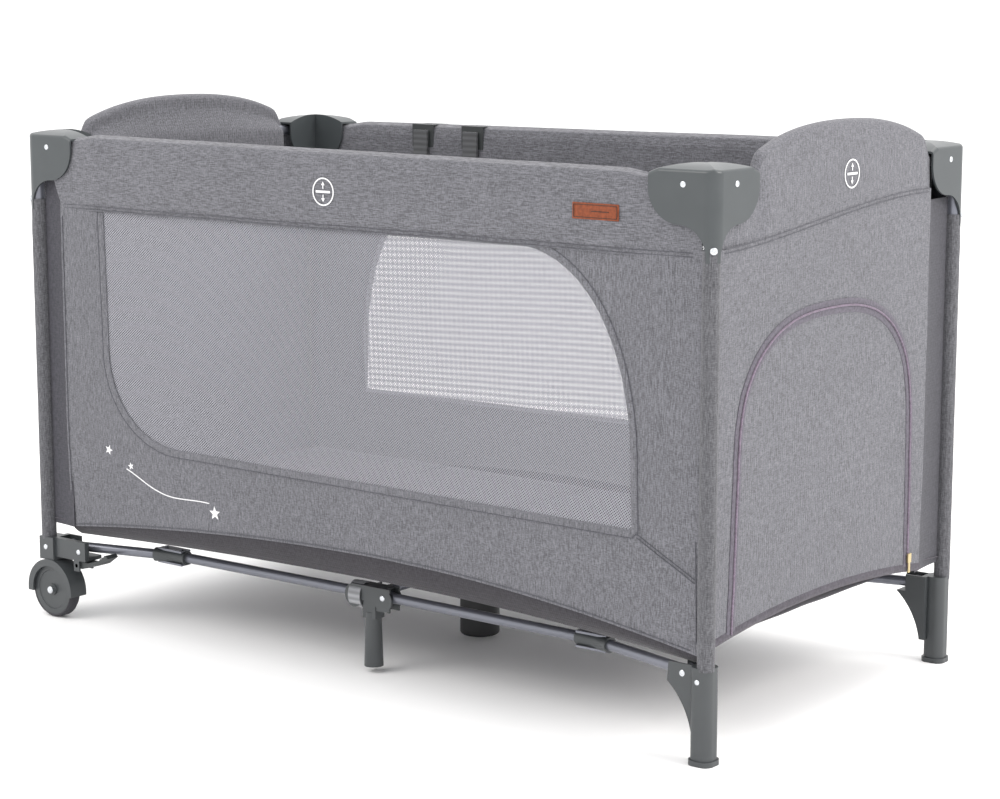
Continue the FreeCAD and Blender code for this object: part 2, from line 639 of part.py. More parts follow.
def long_wall(name, side_y, turn):
    """Long wall with its window hole, rail cover and inner skirt."""
    body = new_body("LongWall")
    plane = "Sizes.half_width - Sizes.wall_inset - Sizes.fabric / 2"
    panel = new_sketch(body, "XZ_Plane", plane)
    low, step, high = "Sizes.wall_bottom", "Sizes.wall_step", "Sizes.cover_top"
    draw_polygon(panel, [("-594", low), ("594", low), ("594", step), ("520", step), ("520", high),
                         ("-520", high), ("-520", step), ("-594", step)])
    pad(body, panel, "Sizes.fabric", midplane=True)
    opening = new_sketch(body, "XZ_Plane", plane)
    window_outline(opening, 0)
    pocket(body, opening, "10")
    hook = new_sketch(body, "YZ_Plane")
    face = "-Sizes.half_width + Sizes.wall_inset"
    skirt = "-Sizes.half_width + Sizes.skirt_inset"
    draw_polygon(hook, [(face, high), (face, f"{high} - Sizes.fabric"),
                        (f"{skirt} - Sizes.fabric", f"{high} - Sizes.fabric"),
                        (f"{skirt} - Sizes.fabric", f"{high} - 90"), (skirt, f"{high} - 90"), (skirt, high)])
    pad(body, hook, "1040", midplane=True)
    place(body, turn=Rotation(Vector(0, 0, 1), turn))
    return node(body, f"wall_{name}")


def window_mesh(name, turn):
    """Netting of a window."""
    body = new_body("WindowMesh")
    net = new_sketch(body, "XZ_Plane", "Sizes.half_width - Sizes.wall_inset - Sizes.fabric / 2")
    window_outline(net, -0.5)
    pad(body, net, "1", midplane=True)
    place(body, turn=Rotation(Vector(0, 0, 1), turn))
    return node(body, f"window_mesh_{name}")


def door_outline(sketch, grow):
    """The door in an end wall: straight sides and a full round head."""
    left, right = -size("door_left") - grow, size("door_right") + grow
    low, shoulder, top = size("door_bottom") - grow, size("door_shoulder"), size("door_top") + grow
    draw_outline(sketch, (left, low), [(right, low), (right, shoulder),
                                       ((right - 55, top - 48), (right - 130, top)), (left + 130, top),
                                       ((left + 55, top - 48), (left, shoulder)), (left, low)])


def end_wall(name, side_x, turn, with_door):
    """End wall with its arched crest, inner skirt and, at one end, the door hole."""
    body = new_body("EndWall")
    plane = "Sizes.half_length - Sizes.wall_inset - Sizes.fabric / 2"
    low, step, high = size("wall_bottom"), size("wall_step"), size("cover_top")
    crest = size("crest_top")
    panel = new_sketch(body, "YZ_Plane", plane)
    draw_outline(panel, (-294, low), [(294, low), (294, step), (220, step), (220, high),
                                      ((0, crest), (-220, high)), (-220, step), (-294, step), (-294, low)])
    pad(body, panel, "Sizes.fabric", midplane=True)
    if with_door:
        doorway = new_sketch(body, "YZ_Plane", plane)
        door_outline(doorway, size("door_gap"))
        pocket(body, doorway, "10")
    top = new_sketch(body, "YZ_Plane", "Sizes.half_length - Sizes.wall_inset - Sizes.crest_depth / 2")
    draw_outline(top, (-220, high), [((0, crest), (220, high)), (220, high - 2), (-220, high - 2), (-220, high)])
    pad(body, top, "Sizes.crest_depth", midplane=True)
    skirt = new_sketch(body, "XZ_Plane")
    face = "Sizes.half_length - Sizes.wall_inset - Sizes.crest_depth"
    inner = "Sizes.half_length - Sizes.skirt_inset"
    draw_polygon(skirt, [(face, "Sizes.cover_top"), (face, "Sizes.cover_top - 2"),
                         (f"{inner} + 2", "Sizes.cover_top - 2"), (f"{inner} + 2", "Sizes.cover_top - 60"),
                         (inner, "Sizes.cover_top - 60"), (inner, "Sizes.cover_top")])
    pad(body, skirt, "440", midplane=True)
    place(body, turn=Rotation(Vector(0, 0, 1), turn))
    return node(body, f"wall_{name}")


def door_flap():
    """Zipped door of the right end wall."""
    body = new_body("DoorFlap")
    flap = new_sketch(body, "YZ_Plane", "Sizes.half_length - Sizes.wall_inset - Sizes.fabric / 2")
    door_outline(flap, 0)
    pad(body, flap, "Sizes.fabric", midplane=True)
    place(body)
    return node(body, "door_flap")


def zip_slider():
    """Slider of the door's zip with its hanging puller."""
    centre_x = "Sizes.half_length - 1.4"
    slider = block(("2.4", "9", "13"), (centre_x, "Sizes.door_right - 2", "Sizes.door_bottom + 12"))
    puller = block(("1.6", "5", "16"), (centre_x, "Sizes.door_right - 2", "Sizes.door_bottom - 1"))
    return node(fuse(slider, puller), "zip_slider")


def rail_clips():
    """Two ribbed clips that hang webbing loops over the rear rail."""
    parts = []
    for from_corner in (279, 383):
        centre_x = f"-Sizes.half_length + {from_corner}"
        outside = block(("44", "39.8", "37"), (centre_x, "305", "732.4"))
        inside = block(("60", "36.6", "37"), (centre_x, "305", "730.8"))
        parts.append(cut(outside, inside))
    return node(group(*parts), "rail_clips")


def floor_sheet():
    """Fabric floor under the base board."""
    return node(block(("1184", "632", "2"), ("0", "0", "Sizes.floor_height + 1")), "floor_sheet")


def base_board(name, side_x):
    """Two hinged padded boards of one half of the base board."""
    boards = []
    for start, end in ((2, 294), (296, 588)):
        boards.append(block((str(end - start), "2 * Sizes.board_half_width", "Sizes.board_thickness"),
                            (f"{side_x} * {(start + end) / 2}", "0",
                             "Sizes.board_bottom + Sizes.board_thickness / 2")))
    return node(group(*boards), f"base_board_{name}")


# ---------------------------------------------------------------- assembly
for corner, (sx, sy, quarter) in CORNERS.items():
    corner_cap(corner, sx, sy, quarter)
    post(corner, sx, sy)
    fasteners(corner, sx, sy)
    base_half(corner, sx, sy)
    end = "right" if sx > 0 else "left"
    depth_name = "front" if sy < 0 else "rear"
    long_rail(f"{depth_name}_rail_{end}", sx, sy)
    end_rail(f"{end}_rail_{depth_name}", sx, sy)
    if sx > 0:
        foot(corner, sx, sy)
    else:
        wheel_bracket(corner, sx, sy)
        wheel(corner, sx, sy)
        brake_lever(corner, sx, sy)
rail_lock("front", "x", -1, 39, 12)
rail_lock("rear", "x", 1, 39, 12)
rail_lock("right", "y", 1, 2, 9)
rail_lock("left", "y", -1, 2, 9)
for depth_name, sy, half_turn in (("front", -1, 0), ("rear", 1, 180)):
    mid_bracket(depth_name, sy)
    cross_tube(depth_name, sy)
    long_wall(depth_name, sy, half_turn)
    window_mesh(depth_name, half_turn)
hub()
end_wall("right", 1, 0, True)
end_wall("left", -1, 180, False)
door_flap()
zip_slider()
rail_clips()
floor_sheet()
base_board("right", 1)
base_board("left", -1)

# ---------------------------------------------------------------- checks and export
doc.recompute()
for obj in doc.Objects:
    if "Invalid" in obj.State or "Error" in obj.State:
        raise RuntimeError(f"{obj.Label} ({obj.Name}) failed: {obj.State}")
os.makedirs("parts", exist_ok=True)
for obj in nodes:
    if obj.Shape.isNull() or not obj.Shape.isValid():
        raise RuntimeError(f"{obj.Label} has no valid shape")
    obj.Shape.exportStep(f"parts/{obj.Label}.step")
print(len(nodes), "nodes written")
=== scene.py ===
"""Looks of a folding travel cot: melange fabric walls with netting windows, padded rail covers,
an arched padded end at each side, a zip door, moulded corner caps, steel tubes and two wheels."""
import bpy
import math
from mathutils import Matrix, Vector, noise


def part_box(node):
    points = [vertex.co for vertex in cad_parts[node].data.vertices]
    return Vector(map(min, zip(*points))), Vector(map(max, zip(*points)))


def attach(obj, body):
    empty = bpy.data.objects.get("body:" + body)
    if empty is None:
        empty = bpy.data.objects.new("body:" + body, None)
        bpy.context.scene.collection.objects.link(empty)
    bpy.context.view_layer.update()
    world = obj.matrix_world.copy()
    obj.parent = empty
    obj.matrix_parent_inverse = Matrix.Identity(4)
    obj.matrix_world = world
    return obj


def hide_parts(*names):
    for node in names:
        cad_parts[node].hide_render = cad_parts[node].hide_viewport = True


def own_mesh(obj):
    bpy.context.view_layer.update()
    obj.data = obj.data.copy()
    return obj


bl_info = {
    "name": "Travel cot",
    "version": (1, 0, 0),
    "blender": (4, 5, 0),
    "location": "View3D > Sidebar > Travel cot",
    "description": "Builds the fabric, trim and finishes of a folding travel cot around its frame",
    "category": "Object",
}

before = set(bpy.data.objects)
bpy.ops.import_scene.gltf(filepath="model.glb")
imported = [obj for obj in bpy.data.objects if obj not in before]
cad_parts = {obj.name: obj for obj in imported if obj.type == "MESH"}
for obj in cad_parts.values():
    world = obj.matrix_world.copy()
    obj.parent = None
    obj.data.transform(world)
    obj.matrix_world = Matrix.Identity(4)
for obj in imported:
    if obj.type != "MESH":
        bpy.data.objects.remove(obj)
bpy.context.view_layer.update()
MM = 0.001
BOARD_LOW, BOARD_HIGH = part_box("base_board_right")
CAP_LOW, CAP_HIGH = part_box("corner_cap_front_right")
LEFT_CAP_LOW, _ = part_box("corner_cap_front_left")
HALF_LENGTH = (CAP_HIGH.x - LEFT_CAP_LOW.x) / 2 / MM      # outer faces of the caps, mm
HALF_WIDTH = -CAP_LOW.y / MM
MID_X = (CAP_HIGH.x + LEFT_CAP_LOW.x) / 2 / MM            # the cot's middle in the row frame
RAIL_AXIS_Y = HALF_WIDTH - 20
POST = (HALF_LENGTH - 13, HALF_WIDTH - 13)                # post axis in from the middle
FOLD_X = {"axis": (1, 0, 0), "anchor": ((POST[0] + MID_X) * MM, 0, 0), "keep": 0.164}
FOLD_Y = {"axis": (0, 1, 0), "anchor": (0, -POST[1] * MM, 0), "keep": 0.365}
FOLD_BOARD = {"axis": (0, 1, 0), "anchor": (0, -0.227, 0), "keep": 0.12}


# ---------------------------------------------------------------- sizes and colours
class CotSizes(bpy.types.PropertyGroup):
    """Sizes of the fabric parts."""
    fabric_thickness: bpy.props.FloatProperty(
        name="Fabric thickness", description="Thickness of the wall fabric", default=1.2 * MM,
        unit="LENGTH")
    hem_height: bpy.props.FloatProperty(
        name="Cover hem", description="Height of the rail covers' lower hem", default=642 * MM,
        unit="LENGTH")
    binding_width: bpy.props.FloatProperty(
        name="Window binding", description="Width of the binding round a window", default=11 * MM,
        unit="LENGTH")
    zip_width: bpy.props.FloatProperty(
        name="Zip tape", description="Width of both tapes of the door's zip", default=19 * MM,
        unit="LENGTH")
    sleeve_radius: bpy.props.FloatProperty(
        name="Post sleeve", description="Outer radius of the fabric sleeves", default=12 * MM,
        unit="LENGTH")
    net_pitch: bpy.props.FloatProperty(
        name="Netting pitch", description="Distance between the holes of the netting",
        default=3.0 * MM, unit="LENGTH")


def colour_property(label, text, red, green, blue):
    """An sRGB colour that a user can change."""
    return bpy.props.FloatVectorProperty(name=label, description=text, subtype="COLOR_GAMMA", size=3,
                                         min=0, max=1, default=(red / 255, green / 255, blue / 255))


class CotColours(bpy.types.PropertyGroup):
    """Colours of the cot, in sRGB."""
    fabric: colour_property("Fabric", "Melange wall fabric", 0x5F, 0x5F, 0x64)
    cap: colour_property("Caps", "Corner caps", 0x3E, 0x42, 0x44)
    trim: colour_property("Trim", "Lower band and door binding", 0x47, 0x44, 0x4B)
    tube: colour_property("Tubes", "Powder-coated tubes", 0x70, 0x72, 0x7B)
    label: colour_property("Label", "Sewn label", 0x74, 0x38, 0x1C)
    print: colour_property("Print", "Printed marks", 0xE6, 0xE6, 0xE8)


def sizes():
    return bpy.context.scene.cot_sizes


def colour(name):
    """One of the user's colours as a hex text."""
    return "#" + "".join(f"{round(part * 255):02x}" for part in getattr(bpy.context.scene.cot_colours, name))


# ---------------------------------------------------------------- materials
def linear(hex_colour):
    """An sRGB hex colour as linear RGBA."""
    parts = [int(hex_colour[k:k + 2], 16) / 255 for k in (1, 3, 5)]
    return [p / 12.92 if p <= 0.04045 else ((p + 0.055) / 1.055) ** 2.4 for p in parts] + [1]


def shade(hex_colour, factor):
    """A lighter or darker version of a hex colour."""
    return "#" + "".join(f"{min(255, round(int(hex_colour[k:k + 2], 16) * factor)):02x}" for k in (1, 3, 5))


def add(tree, kind, links=(), **settings):
    """Add one node with its settings, and link its inputs to other nodes' outputs."""
    new = tree.nodes.new(kind)
    for key, value in settings.items():
        if key.startswith("in_"):
            socket = key[3:]
            new.inputs[int(socket) if socket.isdigit() else socket.replace("_", " ")].default_value = value
        else:
            setattr(new, key, value)
    for target, source in links:
        tree.links.new(source, new.inputs[target])
    return new


def start_material(name, base, roughness, metallic=0.0, **sockets):
    """A material with its shader and object coordinates."""
    made = bpy.data.materials.new(name)
    made.use_nodes = True
    tree = made.node_tree
    shader = tree.nodes["Principled BSDF"]
    shader.inputs["Base Color"].default_value = linear(base)
    shader.inputs["Roughness"].default_value = roughness
    shader.inputs["Metallic"].default_value = metallic
    for socket, value in sockets.items():
        shader.inputs[socket.replace("_", " ")].default_value = value
    coordinates = tree.nodes.new("ShaderNodeTexCoord")
    return made, tree, shader, coordinates.outputs["Object"]


def stretched_noise(tree, place, per_metre, detail=2.0):
    """Noise whose grain has a different count per metre along each axis."""
    mapped = add(tree, "ShaderNodeMapping", [("Vector", place)], in_Scale=per_metre)
    return add(tree, "ShaderNodeTexNoise", [("Vector", mapped.outputs[0])], in_Scale=1.0,
               in_Detail=detail).outputs["Fac"]


def melange(name, base, along="z", contrast=0.9):
    """Melange woven polyester: slubby yarns of several greys, matt, with a plain weave relief."""
    made, tree, shader, place = start_material(name, base, 0.92, Sheen_Weight=0.12,
                                               Sheen_Roughness=0.6, Specular_IOR_Level=0.2)
    fine, coarse = 1100, 110
    grains = {"z": ((fine, fine, coarse), (coarse * 2, coarse * 2, fine)),
              "x": ((coarse, coarse, fine), (fine, fine, coarse * 2))}[along]
    main = stretched_noise(tree, place, grains[0])
    cross = stretched_noise(tree, place, grains[1])
    both = add(tree, "ShaderNodeMix", [(2, main), (3, cross)], in_0=0.42)
    ramp = add(tree, "ShaderNodeValToRGB", [("Fac", both.outputs[0])])
    ramp.color_ramp.elements[0].position = 0.38
    ramp.color_ramp.elements[0].color = linear(shade(base, 1 - 0.26 * contrast))
    ramp.color_ramp.elements[1].position = 0.62
    ramp.color_ramp.elements[1].color = linear(shade(base, 1 + 0.22 * contrast))
    middle = ramp.color_ramp.elements.new(0.5)
    middle.color = linear(base)
    tone = stretched_noise(tree, place, (5, 5, 5), 1.0)
    wide = add(tree, "ShaderNodeMapRange", [("Value", tone)], in_To_Min=0.93, in_To_Max=1.07)
    tinted = add(tree, "ShaderNodeMix", [(6, ramp.outputs[0]), (7, wide.outputs[0])], data_type="RGBA",
                 blend_type="MULTIPLY", in_0=1.0)
    tree.links.new(tinted.outputs[2], shader.inputs["Base Color"])
    weave = weave_height(tree, place)
    bump = add(tree, "ShaderNodeBump", [("Height", weave)], in_Strength=0.35, in_Distance=0.0004)
    soft = add(tree, "ShaderNodeBump", [("Height", both.outputs[0]), ("Normal", bump.outputs[0])],
               in_Strength=0.25, in_Distance=0.0005)
    tree.links.new(soft.outputs[0], shader.inputs["Normal"])
    return made


def weave_height(tree, place, threads_per_metre=1300):
    """Height of a plain weave: two sets of threads crossing, 0.75 mm apart."""
    waves = []
    for direction in ("Z", "X", "Y"):
        waves.append(add(tree, "ShaderNodeTexWave", [("Vector", place)], bands_direction=direction,
                         in_Scale=threads_per_metre / 20).outputs["Fac"])
    first = add(tree, "ShaderNodeMath", [(0, waves[0]), (1, waves[1])], operation="ADD")
    return add(tree, "ShaderNodeMath", [(0, first.outputs[0]), (1, waves[2])], operation="ADD").outputs[0]


def plain_cloth(name, base, roughness=0.85):
    """Smooth polyester taffeta or binding tape: one colour, faint ribs and a slight sheen."""
    made, tree, shader, place = start_material(name, base, roughness, Sheen_Weight=0.25,
                                               Sheen_Roughness=0.4, Specular_IOR_Level=0.3)
    tone = stretched_noise(tree, place, (260, 260, 260), 3.0)
    ramp = add(tree, "ShaderNodeValToRGB", [("Fac", tone)])
    ramp.color_ramp.elements[0].position = 0.3
    ramp.color_ramp.elements[0].color = linear(shade(base, 0.86))
    ramp.color_ramp.elements[1].position = 0.7
    ramp.color_ramp.elements[1].color = linear(shade(base, 1.12))
    tree.links.new(ramp.outputs[0], shader.inputs["Base Color"])
    bump = add(tree, "ShaderNodeBump", [("Height", weave_height(tree, place, 1700))], in_Strength=0.25,
               in_Distance=0.0003)
    tree.links.new(bump.outputs[0], shader.inputs["Normal"])
    return made


def netting(name, slant=38):
    """Polyester window netting: pale threads round holes in slanting rows; light passes the holes.

    Two crossed waves leave a round hole at each crossing; a little under half of the area is open."""
    made, tree, shader, place = start_material(name, "#93939a", 0.7, Specular_IOR_Level=0.3)
    pitch = sizes().net_pitch
    turned = add(tree, "ShaderNodeMapping", [("Vector", place)], in_Rotation=(0, math.radians(slant), 0),
                 in_Scale=(1 / pitch, 1 / pitch, 1 / pitch))
    split = add(tree, "ShaderNodeSeparateXYZ", [(0, turned.outputs[0])])
    waves = []
    for output in (0, 2):
        angle = add(tree, "ShaderNodeMath", [(0, split.outputs[output])], operation="MULTIPLY",
                    in_1=2 * math.pi)
        waves.append(add(tree, "ShaderNodeMath", [(0, angle.outputs[0])], operation="SINE").outputs[0])
    both = add(tree, "ShaderNodeMath", [(0, waves[0]), (1, waves[1])], operation="ADD")
    hole = add(tree, "ShaderNodeMapRange", [("Value", both.outputs[0])], in_From_Min=-0.12, in_From_Max=0.22,
               in_To_Min=1.0, in_To_Max=0.0)
    tree.links.new(hole.outputs[0], shader.inputs["Alpha"])
    bump = add(tree, "ShaderNodeBump", [("Height", hole.outputs[0])], in_Strength=0.4, in_Distance=0.0004)
    tree.links.new(bump.outputs[0], shader.inputs["Normal"])
    return made


def moulded(name, base, roughness=0.42, grain=0.12):
    """Injection-moulded polypropylene: satin, with a fine spark-eroded texture and faint wear."""
    made, tree, shader, place = start_material(name, base, roughness, IOR=1.49)
    fine = stretched_noise(tree, place, (2200, 2200, 2200), 2.0)
    wear = stretched_noise(tree, place, (28, 28, 28), 4.0)
    rough = add(tree, "ShaderNodeMapRange", [("Value", wear)], in_To_Min=roughness - 0.07,
                in_To_Max=roughness + 0.1)
    tree.links.new(rough.outputs[0], shader.inputs["Roughness"])
    tone = add(tree, "ShaderNodeMix", [(0, wear)], data_type="RGBA", in_6=linear(shade(base, 0.94)),
               in_7=linear(shade(base, 1.06)))
    tree.links.new(tone.outputs[2], shader.inputs["Base Color"])
    bump = add(tree, "ShaderNodeBump", [("Height", fine)], in_Strength=grain, in_Distance=0.0002)
    tree.links.new(bump.outputs[0], shader.inputs["Normal"])
    return made


def powder_coat(name, base):
    """Powder-coated steel tube: silver-grey, smooth orange peel and a soft gloss."""
    made, tree, shader, place = start_material(name, base, 0.32, 0.55, Coat_Weight=0.25,
                                               Coat_Roughness=0.2)
    peel = stretched_noise(tree, place, (700, 700, 700), 2.0)
    marks = stretched_noise(tree, place, (60, 60, 25), 4.0)
    rough = add(tree, "ShaderNodeMapRange", [("Value", marks)], in_To_Min=0.26, in_To_Max=0.42)
    tree.links.new(rough.outputs[0], shader.inputs["Roughness"])
    bump = add(tree, "ShaderNodeBump", [("Height", peel)], in_Strength=0.08, in_Distance=0.0003)
    tree.links.new(bump.outputs[0], shader.inputs["Normal"])
    return made


def plated(name, base, roughness=0.25):
    """Nickel-plated steel rivet or zip slider: bright, with fine turning marks."""
    made, tree, shader, place = start_material(name, base, roughness, 1.0)
    marks = stretched_noise(tree, place, (900, 900, 900), 3.0)
    rough = add(tree, "ShaderNodeMapRange", [("Value", marks)], in_To_Min=roughness - 0.08,
                in_To_Max=roughness + 0.12)
    tree.links.new(rough.outputs[0], shader.inputs["Roughness"])
    return made


def tyre_rubber(name):
    """Moulded thermoplastic rubber: nearly black, matt, dusty in places."""
    made, tree, shader, place = start_material(name, "#2a292e", 0.7)
    dust = stretched_noise(tree, place, (90, 90, 90), 5.0)
    tone = add(tree, "ShaderNodeMix", [(0, dust)], data_type="RGBA", in_6=linear("#232227"),
               in_7=linear("#38373c"))
    tree.links.new(tone.outputs[2], shader.inputs["Base Color"])
    bump = add(tree, "ShaderNodeBump", [("Height", dust)], in_Strength=0.2, in_Distance=0.0003)
    tree.links.new(bump.outputs[0], shader.inputs["Normal"])
    return made


def printed_ink(name, base):
    """Screen-printed ink on cloth: opaque, slightly broken by the weave."""
    made, tree, shader, place = start_material(name, base, 0.7)
    specks = stretched_noise(tree, place, (900, 900, 900), 2.0)
    tone = add(tree, "ShaderNodeMix", [(0, specks)], data_type="RGBA", in_6=linear(shade(base, 0.9)),
               in_7=linear(base))
    tree.links.new(tone.outputs[2], shader.inputs["Base Color"])
    return made


def webbing(name, base):
    """Woven polypropylene webbing: ribbed across, slightly shiny."""
    made, tree, shader, place = start_material(name, base, 0.6, Sheen_Weight=0.2)
    ribs = add(tree, "ShaderNodeTexWave", [("Vector", place)], bands_direction="Z", in_Scale=35.0,
               in_Distortion=0.4)
    bump = add(tree, "ShaderNodeBump", [("Height", ribs.outputs["Fac"])], in_Strength=0.5,
               in_Distance=0.0005)
    tree.links.new(bump.outputs[0], shader.inputs["Normal"])
    tone = add(tree, "ShaderNodeMix", [(0, ribs.outputs["Fac"])], data_type="RGBA",
               in_6=linear(shade(base, 0.85)), in_7=linear(shade(base, 1.08)))
    tree.links.new(tone.outputs[2], shader.inputs["Base Color"])
    return made


MATERIALS = {
    "panel_melange": lambda name: melange(name, colour("fabric"), "z"),
    "cover_melange": lambda name: melange(name, colour("fabric"), "x"),
    "sleeve_melange": lambda name: melange(name, shade(colour("fabric"), 0.88), "z"),
    "inner_melange": lambda name: melange(name, shade(colour("fabric"), 0.92), "x"),
    "gusset_cloth": lambda name: plain_cloth(name, "#3d3c42"),
    "trim_cloth": lambda name: plain_cloth(name, colour("trim")),
    # The band is the trim cloth made darker: painted shade under the overhanging edge of the panel.
    "band_cloth_painted_shade": lambda name: plain_cloth(name, shade(colour("trim"), 0.72)),
    "zip_tape": lambda name: plain_cloth(name, shade(colour("trim"), 1.22)),
    "zip_coil": lambda name: plain_cloth(name, "#6d6070", 0.5),
    "seam_thread": lambda name: plain_cloth(name, "#4c4c52"),
    "front_netting": netting,
    "rear_netting": lambda name: netting(name, -38),
    "cap_polypropylene": lambda name: moulded(name, colour("cap"), 0.3),
    "foot_polypropylene": lambda name: moulded(name, shade(colour("cap"), 0.96), 0.4),
    "lock_polypropylene": lambda name: moulded(name, shade(colour("cap"), 0.8), 0.5),
    "hub_polypropylene": lambda name: moulded(name, "#1d1d1f", 0.5),
    "powder_coated_steel": lambda name: powder_coat(name, colour("tube")),
    "plated_steel": lambda name: plated(name, "#c9ccd0"),
    "brass_zip": lambda name: plated(name, "#bfae86", 0.35),
    "rubber": tyre_rubber,
    "white_ink": lambda name: printed_ink(name, colour("print")),
    "label_leatherette": lambda name: plain_cloth(name, colour("label"), 0.6),
    "label_ink": lambda name: printed_ink(name, "#3a2218"),
    "dark_webbing": lambda name: webbing(name, "#4b4c4f"),
    "pale_webbing": lambda name: webbing(name, "#85868a"),
}


def material(name):
    """A material by name, made the first time it is asked for."""
    return bpy.data.materials.get(name) or MATERIALS[name](name)


# ---------------------------------------------------------------- modelling helpers
def clear_selection():
    if bpy.context.object and bpy.context.object.mode != "OBJECT":
        bpy.ops.object.mode_set(mode="OBJECT")
    bpy.ops.object.select_all(action="DESELECT")


def activate(piece):
    clear_selection()
    piece.select_set(True)
    bpy.context.view_layer.objects.active = piece


def row(point, turned=False):
    """A point in mm from the cot's middle as metres in the row frame, turned half round if asked."""
    x, y, z = point
    if turned:
        x, y = -x, -y
    return Vector(((x + MID_X) * MM, y * MM, z * MM))


def grid(name, columns, rows, place, turned=False):
    """A sheet of quads whose vertices are put at place(u, v), u and v from 0 to 1."""
    clear_selection()
    bpy.ops.mesh.primitive_grid_add(x_subdivisions=columns, y_subdivisions=rows, size=1)
    sheet = bpy.context.object
    sheet.name = name
    for vertex in sheet.data.vertices:
        u, v = vertex.co.x + 0.5, vertex.co.y + 0.5
        vertex.co = row(place(u, v), turned)
    return sheet


def apply(piece, kind, **settings):
    """Add a modifier with its settings and apply it."""
    activate(piece)
    modifier = piece.modifiers.new(kind, kind)
    for key, value in settings.items():
        setattr(modifier, key, value)
    bpy.ops.object.modifier_apply(modifier=modifier.name)


def face_towards(sheet, outward):
    """Make an open sheet's faces point, on the whole, along a direction."""
    activate(sheet)
    bpy.ops.object.mode_set(mode="EDIT")
    bpy.ops.mesh.select_all(action="SELECT")
    bpy.ops.mesh.normals_make_consistent(inside=False)
    bpy.ops.object.mode_set(mode="OBJECT")
    total = sum((face.normal * face.area for face in sheet.data.polygons), Vector())
    if total.dot(Vector(outward)) < 0:
        bpy.ops.object.mode_set(mode="EDIT")
        bpy.ops.mesh.flip_normals()
        bpy.ops.object.mode_set(mode="OBJECT")


def thicken(sheet, outward, thickness=None):
    """Give a sheet its thickness, on the side away from outward."""
    face_towards(sheet, outward)
    apply(sheet, "SOLIDIFY", thickness=thickness or sizes().fabric_thickness, offset=-1)


def finish(piece, body, finish_name, replaces=(), fold=None, smooth=True):
    """Give a finished piece its material and its body."""
    activate(piece)
    if smooth:
        bpy.ops.object.shade_smooth_by_angle(angle=math.radians(45))
    piece.data.materials.clear()
    piece.data.materials.append(material(finish_name))
    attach(piece, body)
    if replaces:
        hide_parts(*replaces)
    if fold:
        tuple(fold["axis"])
        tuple(fold["anchor"])
        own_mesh(piece)
    return piece


def prism(name, outline, axis, low, high, turned=False):
    """A closed prism through an outline of (across, up) points, for cutting holes."""
    count = len(outline)
    clear_selection()
    bpy.ops.mesh.primitive_circle_add(vertices=count, fill_type="NGON")
    cutter = bpy.context.object
    cutter.name = name
    for vertex, (across, up) in zip(cutter.data.vertices, outline):
        point = (across, low, up) if axis == "y" else (low, across, up)
        vertex.co = row(point, turned)
    activate(cutter)
    bpy.ops.object.mode_set(mode="EDIT")
    bpy.ops.mesh.select_all(action="SELECT")
    reach = (high - low) * MM * (-1 if turned else 1)
    move = (0, reach, 0) if axis == "y" else (reach, 0, 0)
    bpy.ops.mesh.extrude_region_move(TRANSFORM_OT_translate={"value": move})
    bpy.ops.mesh.select_all(action="SELECT")
    bpy.ops.mesh.normals_make_consistent(inside=False)
    bpy.ops.object.mode_set(mode="OBJECT")
    return cutter


def cut_by(piece, cutter, operation="DIFFERENCE"):
    """Cut a piece by a cutter, which is then removed."""
    apply(piece, "BOOLEAN", object=cutter, operation=operation, solver="EXACT")
    bpy.data.objects.remove(cutter)


def tube_along(name, path, radius, turned=False, cyclic=False, sides=8):
    """A round cord or seam along a path of points in mm, as a mesh."""
    curve = bpy.data.curves.new(name, "CURVE")
    curve.dimensions = "3D"
    curve.bevel_depth = radius * MM
    curve.bevel_resolution = max(0, sides // 2 - 2)
    curve.use_fill_caps = True
    spline = curve.splines.new("POLY")
    spline.points.add(len(path) - 1)
    for point, place in zip(spline.points, path):
        point.co = (*row(place, turned), 1)
    spline.use_cyclic_u = cyclic
    piece = bpy.data.objects.new(name, curve)
    bpy.context.scene.collection.objects.link(piece)
    activate(piece)
    bpy.ops.object.convert(target="MESH")
    return bpy.context.object


def join(pieces):
    """Join meshes into the first one."""
    clear_selection()
    for piece in pieces:
        piece.select_set(True)
    bpy.context.view_layer.objects.active = pieces[0]
    bpy.ops.object.join()
    return bpy.context.object


def superellipse(middle, half, power, start, end, steps):
    """Points of a superellipse between two angles in degrees."""
    points = []
    for k in range(steps + 1):
        angle = math.radians(start + (end - start) * k / steps)
        across, up = math.cos(angle), math.sin(angle)
        points.append((middle[0] + half[0] * math.copysign(abs(across) ** (2 / power), across),
                       middle[1] + half[1] * math.copysign(abs(up) ** (2 / power), up)))
    return points


def offset_line(line, distance):
    """A line of (across, up) points moved sideways by a distance, to its left."""
    moved = []
    for k, (across, up) in enumerate(line):
        before, after = line[max(k - 1, 0)], line[min(k + 1, len(line) - 1)]
        along = Vector((after[0] - before[0], after[1] - before[1]))
        along.normalize()
        moved.append((across - along.y * distance, up + along.x * distance))
    return moved


def spaced(line, step):
    """The same line with points at even distances."""
    points = [Vector(point) for point in line]
    result = [tuple(points[0])]
    left = step
    for start, end in zip(points, points[1:]):
        span = (end - start).length
        done = 0.0
        while span - done >= left:
            done += left
            result.append(tuple(start.lerp(end, done / span)))
            left = step
        left -= span - done
    result.append(tuple(points[-1]))
    return result


def ribbon(name, left, right, place, crown, turned=False):
    """A strip between two lines with a crowned middle; place(across, up, lift) gives its points."""
    count = len(left) - 1

    def point(u, v):
        k = min(int(round(u * count)), count)
        (a, b), (c, d) = left[k], right[k]
        lift = crown * (1 - (2 * v - 1) ** 4)
        return place(a + (c - a) * v, b + (d - b) * v, lift)
    return grid(name, count, 6, point, turned)


def smooth_step(low, high, value):
    share = min(max((value - low) / (high - low), 0), 1)
    return share * share * (3 - 2 * share)


